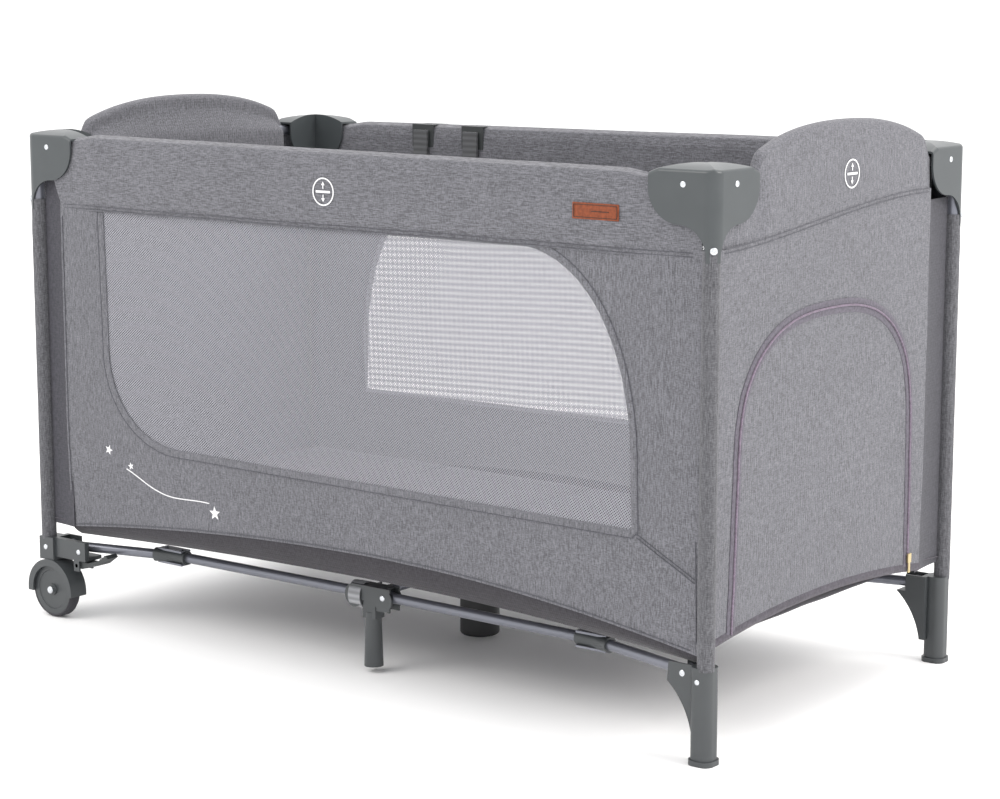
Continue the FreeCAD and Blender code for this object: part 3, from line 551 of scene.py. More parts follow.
def ripple(x, y, z, scale, seed=0.0):
    """Smooth seeded unevenness between -1 and 1; scale is its size in mm."""
    return noise.noise(Vector((x / scale + seed, y / scale + seed * 1.7, z / scale - seed)))


# ---------------------------------------------------------------- long walls
def panel_low(x):
    """Lower edge of a long panel: a slack arch."""
    drop = 34 if x < 50 else 52
    return 190 - drop * ((x - 50) / 560) ** 2


def band_low(x):
    """Lower edge of the dark band under the panel."""
    drop = 14 if x < 50 else 28
    return 152 - drop * ((x - 50) / 560) ** 2


def panel_y(x, z):
    """Outer face of a long panel: nearly flat, drawn in towards the floor and slightly uneven."""
    inward = 5.5 * smooth_step(330, 140, z)
    ends = 1.5 * smooth_step(480, 600, abs(x))
    return -318.5 + inward + ends + 0.7 * ripple(x, 0, z, 90, 3) + 0.5 * ripple(x, 0, z, 31, 8)


WINDOW_LINE = ([(-466, 650), (-461, 434)]
               + superellipse((-318, 434), (143, 138), 2, 180, 270, 18)[1:]
               + [(502, 289), (500, 357)]
               + superellipse((300, 357), (200, 290), 2.25, 0, 82, 26)[1:])


def long_panel(name, turned, body):
    """Panel, netting window and binding of one long wall."""
    left, right = -558, 606

    def place(u, v):
        x = left + (right - left) * u
        low = panel_low(x)
        z = low + (652 - low) * v
        return (x, panel_y(x, z), z)
    outward = (0, 1, 0) if turned else (0, -1, 0)
    panel = grid(f"panel_{name}", 116, 50, place, turned)
    thicken(panel, outward)
    line = WINDOW_LINE + [(WINDOW_LINE[-1][0], 700), (-466, 700)]
    cut_by(panel, prism("window_cutter", line, "y", -340, -300, turned))
    finish(panel, body, "panel_melange", [f"wall_{name}"], FOLD_X)

    def net_place(u, v):
        x, z = -474 + 982 * u, 284 + 370 * v
        return (x, -316.4 + 0.5 * ripple(x, 0, z, 130, 5), z)
    net = grid(f"netting_{name}", 90, 40, net_place, turned)
    outline = offset_line(WINDOW_LINE, -7)
    outline = [(min(x, 507), max(z, 285)) for x, z in outline]
    thicken(net, outward, 0.5 * MM)
    cut_by(net, prism("net_cutter", outline, "y", -330, -300, turned), "INTERSECT")
    finish(net, body, f"{name}_netting", [f"window_mesh_{name}"], FOLD_X)

    width = sizes().binding_width / MM
    line = [point for point in spaced(WINDOW_LINE, 9) if point[1] < 646]
    binding = ribbon(f"window_binding_{name}", offset_line(line, 2), offset_line(line, -width),
                     lambda x, z, lift: (x, panel_y(x, z) + 0.4 - lift, z), 1.3, turned)
    thicken(binding, outward, 0.8 * MM)
    finish(binding, body, "panel_melange", (), FOLD_X)
    return panel


def long_trim(name, turned, body):
    """Band under the panel, its trim cloth darkened as painted shade, and the seam lines of one long wall.
    """
    outward = (0, 1, 0) if turned else (0, -1, 0)

    def place(u, v):
        x = -556 + 1160 * u
        top, low = panel_low(x) + 1, band_low(x)
        z = top + (low - top) * v
        y = panel_y(x, top) + 1.0 + 17 * v ** 1.6 + 0.8 * ripple(x, 0, z, 60, 2) * math.sin(math.pi * v)
        return (x, y, z - 2.5 * math.sin(math.pi * v) * (0.5 + 0.5 * math.sin(x / 70)))
    band = grid(f"lower_band_{name}", 110, 8, place, turned)
    thicken(band, outward)
    # The band's material darkens the trim colour to paint the shade under the panel.
    finish(band, body, "band_cloth_painted_shade", (), FOLD_X)
    seams = []
    width = sizes().binding_width / MM
    runs = [offset_line([point for point in spaced(WINDOW_LINE, 7) if point[1] < 644], -width + 2),
            [(597, 289 - 4 * k) for k in range(0, 34)],
            [(-553, z) for z in range(160, 640, 8)],
            [(x, panel_low(x) + 4) for x in range(-552, 598, 10)],
            [(508 + 3 * k, 287 - 0.55 * 3 * k) for k in range(0, 30)],
            [(508 + 3 * k, 282 - 0.55 * 3 * k) for k in range(0, 30)]]
    for run in runs:
        path = [(x, panel_y(x, z) - 0.9, z) for x, z in run]
        seams.append(tube_along("seam", path, 0.55, turned, sides=6))
    seam = join(seams)
    seam.name = f"seams_{name}"
    finish(seam, body, "seam_thread", (), FOLD_X)


class COT_OT_long_walls(bpy.types.Operator):
    """Build both long walls: panel, netting window, binding, dark band and seams."""
    bl_idname = "cot.long_walls"
    bl_label = "Long walls"

    def execute(self, context):
        for name, turned, body in (("front", False, "front_right_corner"),
                                   ("rear", True, "rear_right_corner")):
            long_panel(name, turned, body)
            long_trim(name, turned, body)
        return {"FINISHED"}


# ---------------------------------------------------------------- rail covers
def cover_section(v, spread):
    """Section of a long rail cover: v runs from the outer hem over the rail to the inner hem."""
    points = [(-320.0, 642), (-322.8, 662), (-324.4, 690), (-324.0, 718), (-322.5, 738), (-319.0, 750.5),
              (-305.0, 755.5), (-291.0, 750.5), (-287.0, 736), (-286.0, 712), (-285.5, 680), (-287.0, 656)]
    spot = v * (len(points) - 1)
    k = min(int(spot), len(points) - 2)
    share = spot - k
    y0, z0 = points[k]
    y1, z1 = points[k + 1]
    y = y0 + (y1 - y0) * share
    z = z0 + (z1 - z0) * share
    middle = -305
    return middle + (y - middle) * spread, z


def long_cover(name, turned, body):
    """Padded cover wrapped over a long rail, drawn in under the caps' wings."""
    left, right = -590, 604

    def place(u, v):
        low_left = 34 * smooth_step(0.42, 0.0, v)
        x = left + low_left + (right - left - low_left) * u
        near = smooth_step(478, 526, abs(x))
        spread = 1 - 0.17 * near
        y, z = cover_section(v, spread)
        sag = 2.5 - 0.0055 * x if z > 700 else 0
        top = smooth_step(700, 748, z)
        z += (sag - 4.5) * top - (5.5 * near * top)
        pull = smooth_step(360, 520, abs(x)) * (1 - near * 0.6)
        folds = pull * (1.5 * ripple(x * 0.55, 0, z * 1.6, 42, 4) + 1.1 * ripple(x, 0, z, 17, 6))
        y_out = y + (-1 if y < -305 else 1) * (0.8 * ripple(x, y, z, 75, 1) + folds)
        if z < 644 and u > 0.97:
            z += 5 * (u - 0.97) / 0.03
        return (x, y_out, z + 0.8 * ripple(x, 0, 0, 140, 9) * (1 if z < 700 else 0.4))
    cover = grid(f"rail_cover_{name}", 170, 66, place, turned)
    apply(cover, "SMOOTH", factor=0.5, iterations=3)
    thicken(cover, (0, 0, 1), 1.6 * MM)
    finish(cover, body, "cover_melange", (), FOLD_X)
    seams = []
    for up in (645.5, 650.5):
        path = [(x, -320.9 + 3.6 * smooth_step(478, 526, abs(x)) - (up - 642) * 0.14,
                 up + 0.8 * ripple(x, 0, 0, 140, 9)) for x in range(-548, 594, 8)]
        seams.append(tube_along("seam", path, 0.5, turned, sides=6))
    seam = join(seams)
    seam.name = f"cover_stitches_{name}"
    finish(seam, body, "seam_thread", (), FOLD_X)


def crest_height(y):
    """Height of the arched end above the floor."""
    arch = 742 + 61 * max(0, 1 - abs(y / 250) ** 2.3) ** 0.68
    return 743 + (arch - 743) * smooth_step(228, 208, abs(y))


def end_seam(y):
    """Height of the seam under an arched end: rises from the flush corner to the other."""
    return 647 + 42 * smooth_step(-300, 250, y) + 5 * math.sin((y + 300) / 550 * math.pi)


def end_cover(name, turned, body):
    """Arched padded end over a short rail, in one wrap from outer seam to inner hem."""
    def place(u, v):
        y = -305 + 533 * u
        near = smooth_step(196, 226, abs(y))
        out = 622.6 - 2.2 * near
        crest = crest_height(y)
        low = end_seam(y)
        hem = 690
        thick = 19 - 4 * near
        if v < 0.5:
            share = v / 0.5
            z = low + (crest - 9 - low) * share
            bulge = 2.2 * math.sin(math.pi * share) * (1 - near)
            x = out - 1.5 + bulge
        elif v < 0.68:
            angle = (v - 0.5) / 0.18 * math.pi
            x = out - 1.5 - thick / 2 + thick / 2 * math.cos(angle)
            z = crest - 9 + 9 * math.sin(angle)
        else:
            share = (v - 0.68) / 0.32
            z = crest - 9 + (hem - crest + 9) * share
            inner = 589 + 1.5 * near
            drawn_in = smooth_step(crest - 20, 735, z) * (1 if crest > 760 else share)
            x = out - 1.5 - thick + (inner - out + 1.5 + thick) * drawn_in
        folds = smooth_step(120, 215, abs(y)) * (1.2 * ripple(0, y, z * 1.4, 36, 3))
        x += (1 if v < 0.5 else -1) * (0.8 * ripple(0, y, z, 80, 7) + folds * (1 - near * 0.6))
        return (x, y, z)
    cover = grid(f"end_cover_{name}", 110, 90, place, turned)
    apply(cover, "SMOOTH", factor=0.5, iterations=3)
    thicken(cover, (0, 0, 1), 1.6 * MM)
    finish(cover, body, "panel_melange", (), FOLD_Y)
    seams = []
    for up in (3.5, 9):
        path = [(622.2 + (0.4 if up > 5 else 0), y, end_seam(y) + up) for y in range(-298, 228, 8)]
        seams.append(tube_along("seam", path, 0.5, turned, sides=6))
    seam = join(seams)
    seam.name = f"end_stitches_{name}"
    finish(seam, body, "seam_thread", (), FOLD_Y)


class COT_OT_rail_covers(bpy.types.Operator):
    """Build the padded covers over the long rails and the arched ends."""
    bl_idname = "cot.rail_covers"
    bl_label = "Rail covers and arched ends"

    def execute(self, context):
        long_cover("front", False, "front_right_corner")
        long_cover("rear", True, "rear_right_corner")
        end_cover("right", False, "front_right_corner")
        end_cover("left", True, "front_left_corner")
        return {"FINISHED"}


# ---------------------------------------------------------------- end walls and door
def end_low(y):
    """Lower edge of an end wall."""
    return 173 - 22 * ((y + 40) / 290) ** 2


def end_x(y, z):
    """Outer face of an end wall."""
    uneven = 0.6 * ripple(0, y, z, 90, 2) + 0.4 * ripple(0, y, z, 30, 5)
    return 621.2 - 2.5 * smooth_step(330, 150, z) + uneven


def door_line(grow=0.0):
    """The line of the door's zip: straight sides under a broad round head."""
    side = 222 + grow
    head = superellipse((-40, 370), (side, 188 + grow), 2.6, 180, 0, 44)
    return [(-40 - side - 6, 163)] + head + [(-40 + side + 8, 163)]


def end_panel(name, turned, body, with_door):
    """Lower panel of an end wall, with the door hole at one end, and its bound lower edge."""
    outward = (-1, 0, 0) if turned else (1, 0, 0)
    left, right = -306, 228

    def place(u, v):
        y = left + (right - left) * u
        low, top = end_low(y), end_seam(y) + 8
        z = low + (top - low) * v
        return (end_x(y, z), y, z)
    panel = grid(f"end_panel_{name}", 66, 60, place, turned)
    thicken(panel, outward)
    if with_door:
        half = sizes().zip_width / MM / 2
        line = door_line(half - 3)
        line = [(line[0][0], 100)] + line[1:-1] + [(line[-1][0], 100)]
        cut_by(panel, prism("door_cutter", line, "x", 600, 640, turned))
    replaced = [f"wall_{name}"]
    finish(panel, body, "panel_melange", replaced, FOLD_Y)

    def hem_place(u, v):
        y = left + (right - left) * u
        z = end_low(y) + 11 * (1 - v) - 2
        x = end_x(y, z) + 1.6 - 1.4 * (2 * v - 1) ** 2
        return (x, y, z)
    hem = grid(f"end_hem_{name}", 60, 6, hem_place, turned)
    thicken(hem, outward, 0.8 * MM)
    finish(hem, body, "trim_cloth", (), FOLD_Y)


def zip_half(name, inner, outer, body, fold):
    """One tape of the door's zip."""
    line = spaced(door_line(), 8)
    tape = ribbon(name, offset_line(line, inner), offset_line(line, outer),
                  lambda y, z, lift: (end_x(y, z) + 0.9 + lift, y, z), 0.5)
    thicken(tape, (1, 0, 0), 0.7 * MM)
    finish(tape, body, "zip_tape", (), fold)


def zip_coil():
    """The zip's coil, a row of small ridges along the door's line."""
    line = spaced(door_line(), 1.6)
    coil = tube_along("zip_coil", [(end_x(y, z) + 1.9, y, z) for y, z in line], 1.5, sides=6)
    ring = 6
    for k, vertex in enumerate(coil.data.vertices):
        if (k // ring) % 2:
            vertex.co.x += 0.5 * MM
    finish(coil, "front_right_corner", "zip_coil", (), FOLD_Y)


class COT_OT_end_walls(bpy.types.Operator):
    """Build the end walls and the zip door."""
    bl_idname = "cot.end_walls"
    bl_label = "End walls and door"

    def execute(self, context):
        end_panel("right", False, "front_right_corner", True)
        end_panel("left", True, "front_left_corner", False)
        half = sizes().zip_width / MM / 2

        def place(u, v):
            y = -275 + 470 * u
            z = end_low(y) + (562 - end_low(y)) * v
            return (end_x(y, z) + 0.2, y, z)
        flap = grid("door_panel", 60, 50, place)
        thicken(flap, (1, 0, 0))
        line = door_line(-half + 3)
        line = [(line[0][0], 100)] + line[1:-1] + [(line[-1][0], 100)]
        cut_by(flap, prism("flap_cutter", line, "x", 600, 640), "INTERSECT")
        finish(flap, "door", "panel_melange", ["door_flap"], FOLD_Y)
        zip_half("zip_tape_wall", 0.6, half, "front_right_corner", FOLD_Y)
        zip_half("zip_tape_door", -0.6, -half, "door", FOLD_Y)
        zip_coil()
        return {"FINISHED"}


# ---------------------------------------------------------------- post sleeves
def sleeve(name, side_x, side_y, body):
    """Fabric sleeve round a post, gathered under the cap."""
    radius = sizes().sleeve_radius / MM

    def place(u, v):
        z = 124 + (655 - 124) * v
        angle = 2 * math.pi * u
        gather = smooth_step(560, 650, z)
        grow = 0.5 * ripple(4 * math.cos(angle), 4 * math.sin(angle), z, 22, 5) * (0.4 + 1.4 * gather)
        return (side_x * POST[0] + (radius + grow - 0.5) * math.cos(angle),
                side_y * POST[1] + (radius + grow - 0.5) * math.sin(angle), z)
    piece = grid(f"post_sleeve_{name}", 28, 90, place)
    activate(piece)
    bpy.ops.object.mode_set(mode="EDIT")
    bpy.ops.mesh.select_all(action="SELECT")
    bpy.ops.mesh.remove_doubles(threshold=0.00005)
    bpy.ops.mesh.normals_make_consistent(inside=False)
    bpy.ops.object.mode_set(mode="OBJECT")
    apply(piece, "SOLIDIFY", thickness=1.0 * MM, offset=-1)
    finish(piece, body, "sleeve_melange")


def gusset(name, start, end, body, fold, top):
    """Recessed strip between a post and the edge of a wall panel."""
    def place(u, v):
        low = 150
        z = low + (top - low) * v
        depth = 0.18 * math.sin(math.pi * u)
        x = start[0] + (end[0] - start[0]) * u
        y = start[1] + (end[1] - start[1]) * u
        inward = Vector((-x, -y, 0)).normalized() * (10 * depth)
        return (x + inward.x, y + inward.y, z)
    piece = grid(f"gusset_{name}", 8, 40, place)
    thicken(piece, (start[0], start[1], 0), 1.0 * MM)
    finish(piece, body, "gusset_cloth", (), fold)


class COT_OT_post_sleeves(bpy.types.Operator):
    """Build the fabric sleeves of the posts and the gussets beside them."""
    bl_idname = "cot.post_sleeves"
    bl_label = "Post sleeves"

    def execute(self, context):
        for side_x, side_y, name in ((1, -1, "front_right"), (1, 1, "rear_right"),
                                     (-1, 1, "rear_left"), (-1, -1, "front_left")):
            sleeve(name, side_x, side_y, f"{name}_corner")
        gusset("front_left", (-601, -309), (-550, -315), "front_right_corner", FOLD_X, 690)
        gusset("rear_right", (601, 309), (550, 315), "rear_right_corner", FOLD_X, 690)
        gusset("right_rear", (609, 301), (617, 219), "front_right_corner", FOLD_Y, 680)
        gusset("left_front", (-609, -301), (-617, -219), "front_left_corner", FOLD_Y, 680)
        return {"FINISHED"}


# ---------------------------------------------------------------- floor and base board
def board(name, low, high, body, crown=4.0):
    """One padded panel of the base board: crowned faces, pulled-in edges and rounded corners."""
    clear_selection()
    middle = (low + high) / 2
    span = high - low
    bpy.ops.mesh.primitive_cube_add(size=1, location=middle, scale=span)
    pad = bpy.context.object
    pad.name = name
    bpy.ops.object.transform_apply(location=True, rotation=True, scale=True)
    bpy.ops.object.mode_set(mode="EDIT")
    bpy.ops.mesh.select_all(action="SELECT")
    bpy.ops.mesh.subdivide(number_cuts=23)
    bpy.ops.object.mode_set(mode="OBJECT")
    for vertex in pad.data.vertices:
        a = 2 * (vertex.co.x - middle.x) / span.x
        b = 2 * (vertex.co.y - middle.y) / span.y
        c = 2 * (vertex.co.z - middle.z) / span.z
        edge = max(abs(a), abs(b))
        full = (1 - abs(a) ** 6) * (1 - abs(b) ** 10)
        if c > 0:
            vertex.co.z -= c * crown * MM * (1 - full ** 0.5)
            vertex.co.z += 0.8 * MM * ripple(vertex.co.x / MM, vertex.co.y / MM, 0, 70, 2) * full
        pull = 1.5 * MM * (1 - abs(c)) if edge > 0.999 else 0
        vertex.co.x += (1 if a < 0 else -1) * pull * (abs(a) > 0.999)
        vertex.co.y += (1 if b < 0 else -1) * pull * (abs(b) > 0.999)
    apply(pad, "BEVEL", width=2.5 * MM, segments=2, limit_method="ANGLE", angle_limit=math.radians(50))
    finish(pad, body, "inner_melange", (), FOLD_BOARD)
    return pad


class COT_OT_base(bpy.types.Operator):
    """Build the padded base board and the floor sheet."""
    bl_idname = "cot.base"
    bl_label = "Base board and floor"

    def execute(self, context):
        for side in ("right", "left"):
            low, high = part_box(f"base_board_{side}")
            half = (low.x + high.x) / 2
            near_half = Vector((half - 1 * MM, high.y, high.z))
            far_half = Vector((half + 1 * MM, low.y, low.z))
            first = board(f"board_panel_{side}_a", low, near_half, f"{side}_board")
            second = board(f"board_panel_{side}_b", far_half, high, f"{side}_board")
            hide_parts(f"base_board_{side}")
            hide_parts(f"base_board_{side}")
            sheet_low, sheet_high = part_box("floor_sheet")
            start, end = (0, 612) if side == "right" else (-612, 0)

            def place(u, v):
                x = start + (end - start) * u
                y = (300 + 11 * smooth_step(380, 560, abs(x))) * (2 * v - 1)
                hang = 5 * smooth_step(250, 300, abs(y))
                return (x, y, 162.5 - hang * 0.6 - 1.2 * (1 + ripple(x, y, 0, 60, 4)))
            floor = grid(f"floor_{side}", 40, 40, place)
            thicken(floor, (0, 0, 1), 1.0 * MM)
            finish(floor, f"{side}_board", "trim_cloth", ["floor_sheet"], FOLD_BOARD)
        return {"FINISHED"}


# ---------------------------------------------------------------- printed and sewn marks
def flat_ring(name, middle, radius, width, place, steps=48):
    """A flat printed ring."""
    inner = [(middle[0] + (radius - width) * math.cos(2 * math.pi * k / steps),
              middle[1] + (radius - width) * math.sin(2 * math.pi * k / steps)) for k in range(steps + 1)]
    outer = [(middle[0] + radius * math.cos(2 * math.pi * k / steps),
              middle[1] + radius * math.sin(2 * math.pi * k / steps)) for k in range(steps + 1)]
    return ribbon(name, inner, outer, place, 0.1)


def flat_patch(name, outline, place):
    """A flat printed patch with the given outline."""
    clear_selection()
    bpy.ops.mesh.primitive_circle_add(vertices=len(outline), fill_type="NGON")
    patch = bpy.context.object
    patch.name = name
    for vertex, (across, up) in zip(patch.data.vertices, outline):
        vertex.co = row(place(across, up, 0.1))
    return patch


def star(middle, radius, turn):
    """Outline of a five-pointed star."""
    points = []
    for k in range(10):
        reach = radius if k % 2 == 0 else radius * 0.42
        angle = math.radians(turn + 36 * k)
        points.append((middle[0] + reach * math.cos(angle), middle[1] + reach * math.sin(angle)))
    return points


def lift_mark(name, middle, place, body, fold, outward):
    """Round mark over a lock's button: a ring, a bar and two arrows that say press and lift."""
    a, b = middle
    pieces = [flat_ring(name, middle, 19.5, 2.0, place)]
    bar = [(a - 13, b - 1.6), (a + 13, b - 1.6), (a + 13, b + 1.6), (a - 13, b + 1.6)]
    pieces.append(flat_patch("bar", bar, place))
    for way in (-1, 1):
        stem = [(a + across, b + way * up)
                for across, up in ((-0.8, 4), (0.8, 4), (0.8, 9), (3.2, 9), (0, 14), (-3.2, 9), (-0.8, 9))]
        pieces.append(flat_patch("arrow", stem, place))
    mark = join(pieces)
    mark.name = name
    thicken(mark, outward, 0.25 * MM)
    finish(mark, body, "white_ink", (), fold)


class COT_OT_marks(bpy.types.Operator):
    """Build the printed marks and the sewn label."""
    bl_idname = "cot.marks"
    bl_label = "Marks and label"

    def execute(self, context):
        def on_cover(x, z, lift):
            return (x, -325.4 - lift + 0.8 * ripple(x, -324, z, 75, 1), z)

        def on_end(y, z, lift):
            return (624.1 + lift, y, z)

        def on_panel(x, z, lift):
            return (x, panel_y(x, z) - 0.15 - lift, z)
        lift_mark("lift_mark_front", (-15, 696), on_cover, "front_right_corner", FOLD_X, (0, -1, 0))
        lift_mark("lift_mark_right", (4, 731), on_end, "front_right_corner", FOLD_Y, (1, 0, 0))

        tail = [(-500 + 4 * k, 262 - 42 * smooth_step(0, 60, k) + 6 * math.sin(k / 7.5))
                for k in range(18, 62)]
        path = [on_panel(x, z, 0.2) for x, z in tail]
        pieces = [tube_along("printed_star_trail", path, 0.9, sides=6)]
        stars = [flat_patch("star", star((-246, 212), 11, 20), on_panel),
                 flat_patch("star", star((-465, 282), 8, 0), on_panel),
                 flat_patch("star", star((-419, 262), 6, 30), on_panel)]
        stars = join(stars)
        thicken(stars, (0, -1, 0), 0.25 * MM)
        trail = join([pieces[0], stars])
        finish(trail, "front_right_corner", "white_ink", (), FOLD_X)

        def label_place(u, v):
            x, z = 410 + 72 * u, 684 + 21 * v
            rise = 0.7 * (1 - max(abs(2 * u - 1), abs(2 * v - 1)) ** 8)
            return (x, on_cover(x, z, 0.3 + rise)[1], z)
        label = grid("sewn_label", 24, 12, label_place)
        thicken(label, (0, -1, 0), 0.9 * MM)
        finish(label, "front_right_corner", "label_leatherette", (), FOLD_X)
        frame_line = [(412.5, 686.5), (479.5, 686.5), (479.5, 702.5), (412.5, 702.5), (412.5, 686.5)]
        path = [on_cover(x, z, 1.0) for x, z in spaced(frame_line, 3)]
        rule = [on_cover(x, 694.5, 1.1) for x in range(440, 470, 3)]
        lines = join([tube_along("label_stitches", path, 0.45, sides=6),
                      tube_along("rule", rule, 0.6, sides=6)])
        finish(lines, "front_right_corner", "label_ink", (), FOLD_X)
        return {"FINISHED"}


# ---------------------------------------------------------------- webbing
def strap(name, path, width, across, body, finish_name, fold=None):
    """Flat webbing along a path of points in mm, as wide as given along the across direction."""
    count = len(path) - 1
    side = Vector(across)

    def place(u, v):
        k = min(int(round(u * count)), count)
        return tuple(Vector(path[k]) + side * (width * (v - 0.5)))
    piece = grid(name, count, 4, place)
    activate(piece)
    apply(piece, "SOLIDIFY", thickness=1.6 * MM, offset=0)
    finish(piece, body, finish_name, (), fold)
    return piece


def webbing_path(y, z_top, z_low, gap, steps=12):
    """A hanging loop of webbing: down, round and up again."""
    down = [(0, y, z_top + (z_low - z_top) * k / steps) for k in range(steps + 1)]
    turn = [(0, y - gap / 2 * (1 - math.cos(math.pi * k / 6)), z_low - gap / 2 * math.sin(math.pi * k / 6))
            for k in range(1, 7)]
    up = [(0, y - gap, z_low + (z_top - z_low) * k / steps) for k in range(1, steps + 1)]
    return down + turn + up


def fork_sleeve(side_x, side_y, end):
    """Moulded sleeve over the bend of a base tube."""
    bend = ((369, 251.5), (386, 251.5), (397, 252), (408, 255), (428, 260.3))
    path = [(side_x * x, side_y * y, 115) for x, y in bend]
    outer = tube_along(f"fork_sleeve_{end}", path, 10.8, sides=16)
    finish(outer, end, "foot_polypropylene")


class COT_OT_webbing(bpy.types.Operator):
    """Build the webbing on the rear clips and at the front mid bracket."""
    bl_idname = "cot.webbing"
    bl_label = "Webbing"

    def execute(self, context):
        for index, from_corner in enumerate((279, 383)):
            x = -HALF_LENGTH + from_corner
            path = [(x, b, c) for _, b, c in webbing_path(281.5, 742, 672, 3)]
            strap(f"hanging_strap_{index + 1}", path, 28, (1, 0, 0), "rear_rail_left", "dark_webbing")
        loop = []
        for k in range(25):
            angle = 2 * math.pi * k / 24
            loop.append((-24, -245 - 15 * math.sin(angle), 112 - 19 * math.cos(angle)))
        for side_x, side_y, end in ((1, -1, "front_base_right"), (-1, -1, "front_base_left"),
                                    (1, 1, "rear_base_right"), (-1, 1, "rear_base_left")):
            fork_sleeve(side_x, side_y, end)
        strap("bracket_strap", loop, 22, (1, 0, 0), "front_mid_bracket", "pale_webbing")
        return {"FINISHED"}


# ---------------------------------------------------------------- rivet heads
def rivet_head(name, centre, outward, radius, body):
    """Domed rivet head with a shallow dimple."""
    clear_selection()
    bpy.ops.mesh.primitive_uv_sphere_add(segments=20, ring_count=12, radius=1)
    head = bpy.context.object
    head.name = name
    turn = Vector((0, 0, 1)).rotation_difference(Vector(outward))
    for vertex in head.data.vertices:
        x, y, z = vertex.co
        reach = math.hypot(x, y)
        if z > 0:
            z = 0.42 * z - 0.16 * max(0, 1 - reach / 0.35)
        else:
            z = 0.1 * z
        vertex.co = row(Vector(centre)) + turn @ Vector((x, y, z)) * radius * MM
    return head


class COT_OT_rivets(bpy.types.Operator):
    """Build the heads of the rivets and pins."""
    bl_idname = "cot.rivets"
    bl_label = "Rivet heads"

    def execute(self, context):
        diagonal = math.sqrt(0.5)
        for sx, sy, name in ((1, -1, "front_right"), (1, 1, "rear_right"),
                             (-1, 1, "rear_left"), (-1, -1, "front_left")):
            tip_x, tip_y = HALF_LENGTH - 17.1 + 18 * diagonal, HALF_WIDTH - 17.1 + 18 * diagonal
            heads = [((sx * (HALF_LENGTH - 48), sy * HALF_WIDTH, 735), (0, sy, 0), 4.2),
                     ((sx * HALF_LENGTH, sy * (HALF_WIDTH - 48), 735), (sx, 0, 0), 4.2),
                     ((sx * tip_x, sy * tip_y, 655), (sx * diagonal, sy * diagonal, 0), 4.8)]
            if sx > 0:
                heads += [((sx * 577, sy * 313, 116), (0, sy, 0), 3.6),
                          ((sx * 606, sy * 323, 110), (0, sy, 0), 3.6)]
            else:
                heads += [((sx * 609, sy * 323, 112), (0, sy, 0), 4.2),
                          ((sx * 540, sy * 318, 112), (0, sy, 0), 4.2),
                          ((sx * 601, sy * 323.7, 44), (0, sy, 0), 6)]
            made = [rivet_head("rivet", *head, f"{name}_corner") for head in heads]
            whole = join(made)
            whole.name = f"rivet_heads_{name}"
            finish(whole, f"{name}_corner", "plated_steel")
        for name, sy in (("front", -1), ("rear", 1)):
            made = [rivet_head("rivet", (x, sy * 257, 115), (0, sy, 0), 4.6, "") for x in (-27, 27)]
            whole = join(made)
            whole.name = f"mid_bracket_rivets_{name}"
            finish(whole, f"{name}_mid_bracket", "plated_steel")
        return {"FINISHED"}


# ---------------------------------------------------------------- finishes of the hard parts
HARD_FINISHES = {
    "corner_cap": "cap_polypropylene", "foot": "foot_polypropylene", "wheel_bracket": "foot_polypropylene",
    "post": "powder_coated_steel", "base_half": "powder_coated_steel", "cross_tube": "powder_coated_steel",
    "fasteners": "plated_steel", "rail_lock": "lock_polypropylene", "release_button": "cap_polypropylene",
    "wheel_disc": "foot_polypropylene", "tyre": "rubber", "brake_lever": "lock_polypropylene",
    "mid_bracket": "foot_polypropylene", "hub": "hub_polypropylene", "zip_slider": "brass_zip",
    "rail_clips": "lock_polypropylene",
}


class COT_OT_hard_finishes(bpy.types.Operator):
    """Give the frame's hard parts their finishes."""
    bl_idname = "cot.hard_finishes"
    bl_label = "Hard finishes"

    def execute(self, context):
        for name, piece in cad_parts.items():
            kind = next((key for key in HARD_FINISHES if name.startswith(key)), None)
            if kind is None and "_rail_" in name:
                kind = "post"
            if kind is None:
                continue
            for material_slot in piece.material_slots:
                material_slot.material = material(HARD_FINISHES[kind])
        return {"FINISHED"}


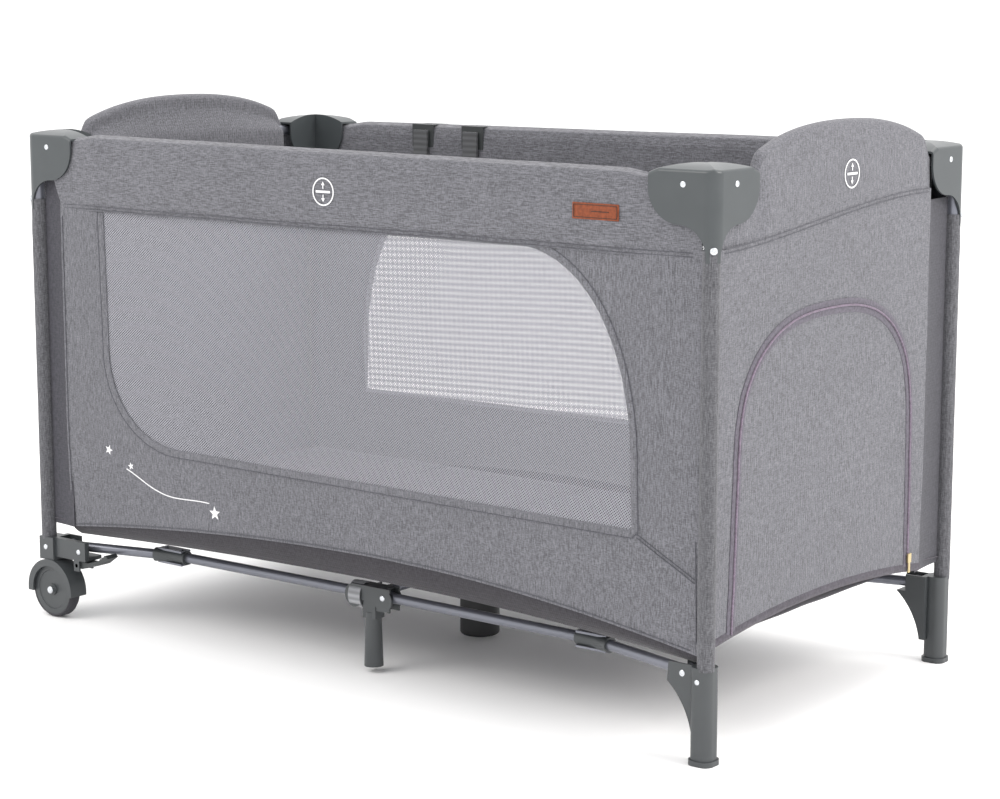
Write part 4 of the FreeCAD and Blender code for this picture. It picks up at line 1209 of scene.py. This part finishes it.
# ---------------------------------------------------------------- floor, light and camera
class COT_OT_stage(bpy.types.Operator):
    """Build the pale floor, the soft lights and the camera."""
    bl_idname = "cot.stage"
    bl_label = "Stage"

    def execute(self, context):
        clear_selection()
        bpy.ops.mesh.primitive_plane_add(size=400)
        floor = context.object
        floor.name = "pale_floor"
        made, _, shader, _ = start_material("pale_floor_paint", "#f8f8f8", 0.9)
        floor.data.materials.append(made)
        world = bpy.data.worlds.new("soft_surround")
        world.use_nodes = True
        world.node_tree.nodes["Background"].inputs[0].default_value = linear("#ffffff")
        world.node_tree.nodes["Background"].inputs[1].default_value = 1.45
        context.scene.world = world
        lights = (("key_softbox", (-1.6, -3.6, 3.6), 2.6, 80), ("side_softbox", (4.0, 0.6, 2.8), 2.2, 115),
                  ("top_softbox", (0.3, 1.4, 4.2), 3.0, 60))
        for name, place, side, power in lights:
            bpy.ops.object.light_add(type="AREA", location=place)
            light = context.object
            light.name = name
            light.data.size = side
            light.data.energy = power
            light.data.color = (1, 0.97, 0.94)
            aim = Vector((0, 0, 0.4)) - Vector(place)
            light.rotation_euler = aim.to_track_quat("-Z", "Y").to_euler()
        bpy.ops.object.camera_add(location=((2235 + MID_X) * MM, -2.805, 0.970),
                                  rotation=(math.radians(90 - 9.57), 0, math.radians(38.06)))
        camera = context.object
        camera.data.lens = 87.6
        camera.data.sensor_width = 36
        context.scene.camera = camera
        context.scene.view_settings.view_transform = "Standard"
        return {"FINISHED"}


# ---------------------------------------------------------------- add-on
OPERATORS = (COT_OT_long_walls, COT_OT_rail_covers, COT_OT_end_walls, COT_OT_post_sleeves, COT_OT_base,
             COT_OT_marks, COT_OT_webbing, COT_OT_rivets, COT_OT_hard_finishes, COT_OT_stage)


class COT_PT_panel(bpy.types.Panel):
    """Lists the cot's sizes, colours and pieces."""
    bl_idname = "COT_PT_panel"
    bl_label = "Travel cot"
    bl_space_type = "VIEW_3D"
    bl_region_type = "UI"
    bl_category = "Travel cot"

    def draw(self, context):
        for group in (context.scene.cot_sizes, context.scene.cot_colours):
            for name in group.__annotations__:
                self.layout.prop(group, name)
        for operator in OPERATORS:
            self.layout.operator(operator.bl_idname)


CLASSES = (CotSizes, CotColours, *OPERATORS, COT_PT_panel)


def register():
    for item in CLASSES:
        bpy.utils.register_class(item)
    bpy.types.Scene.cot_sizes = bpy.props.PointerProperty(type=CotSizes)
    bpy.types.Scene.cot_colours = bpy.props.PointerProperty(type=CotColours)


def unregister():
    del bpy.types.Scene.cot_sizes
    del bpy.types.Scene.cot_colours
    for item in reversed(CLASSES):
        bpy.utils.unregister_class(item)


def main():
    register()
    for operator in OPERATORS:
        group, name = operator.bl_idname.split(".")
        getattr(getattr(bpy.ops, group), name)()
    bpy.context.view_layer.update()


if __name__ == "__main__":
    main()
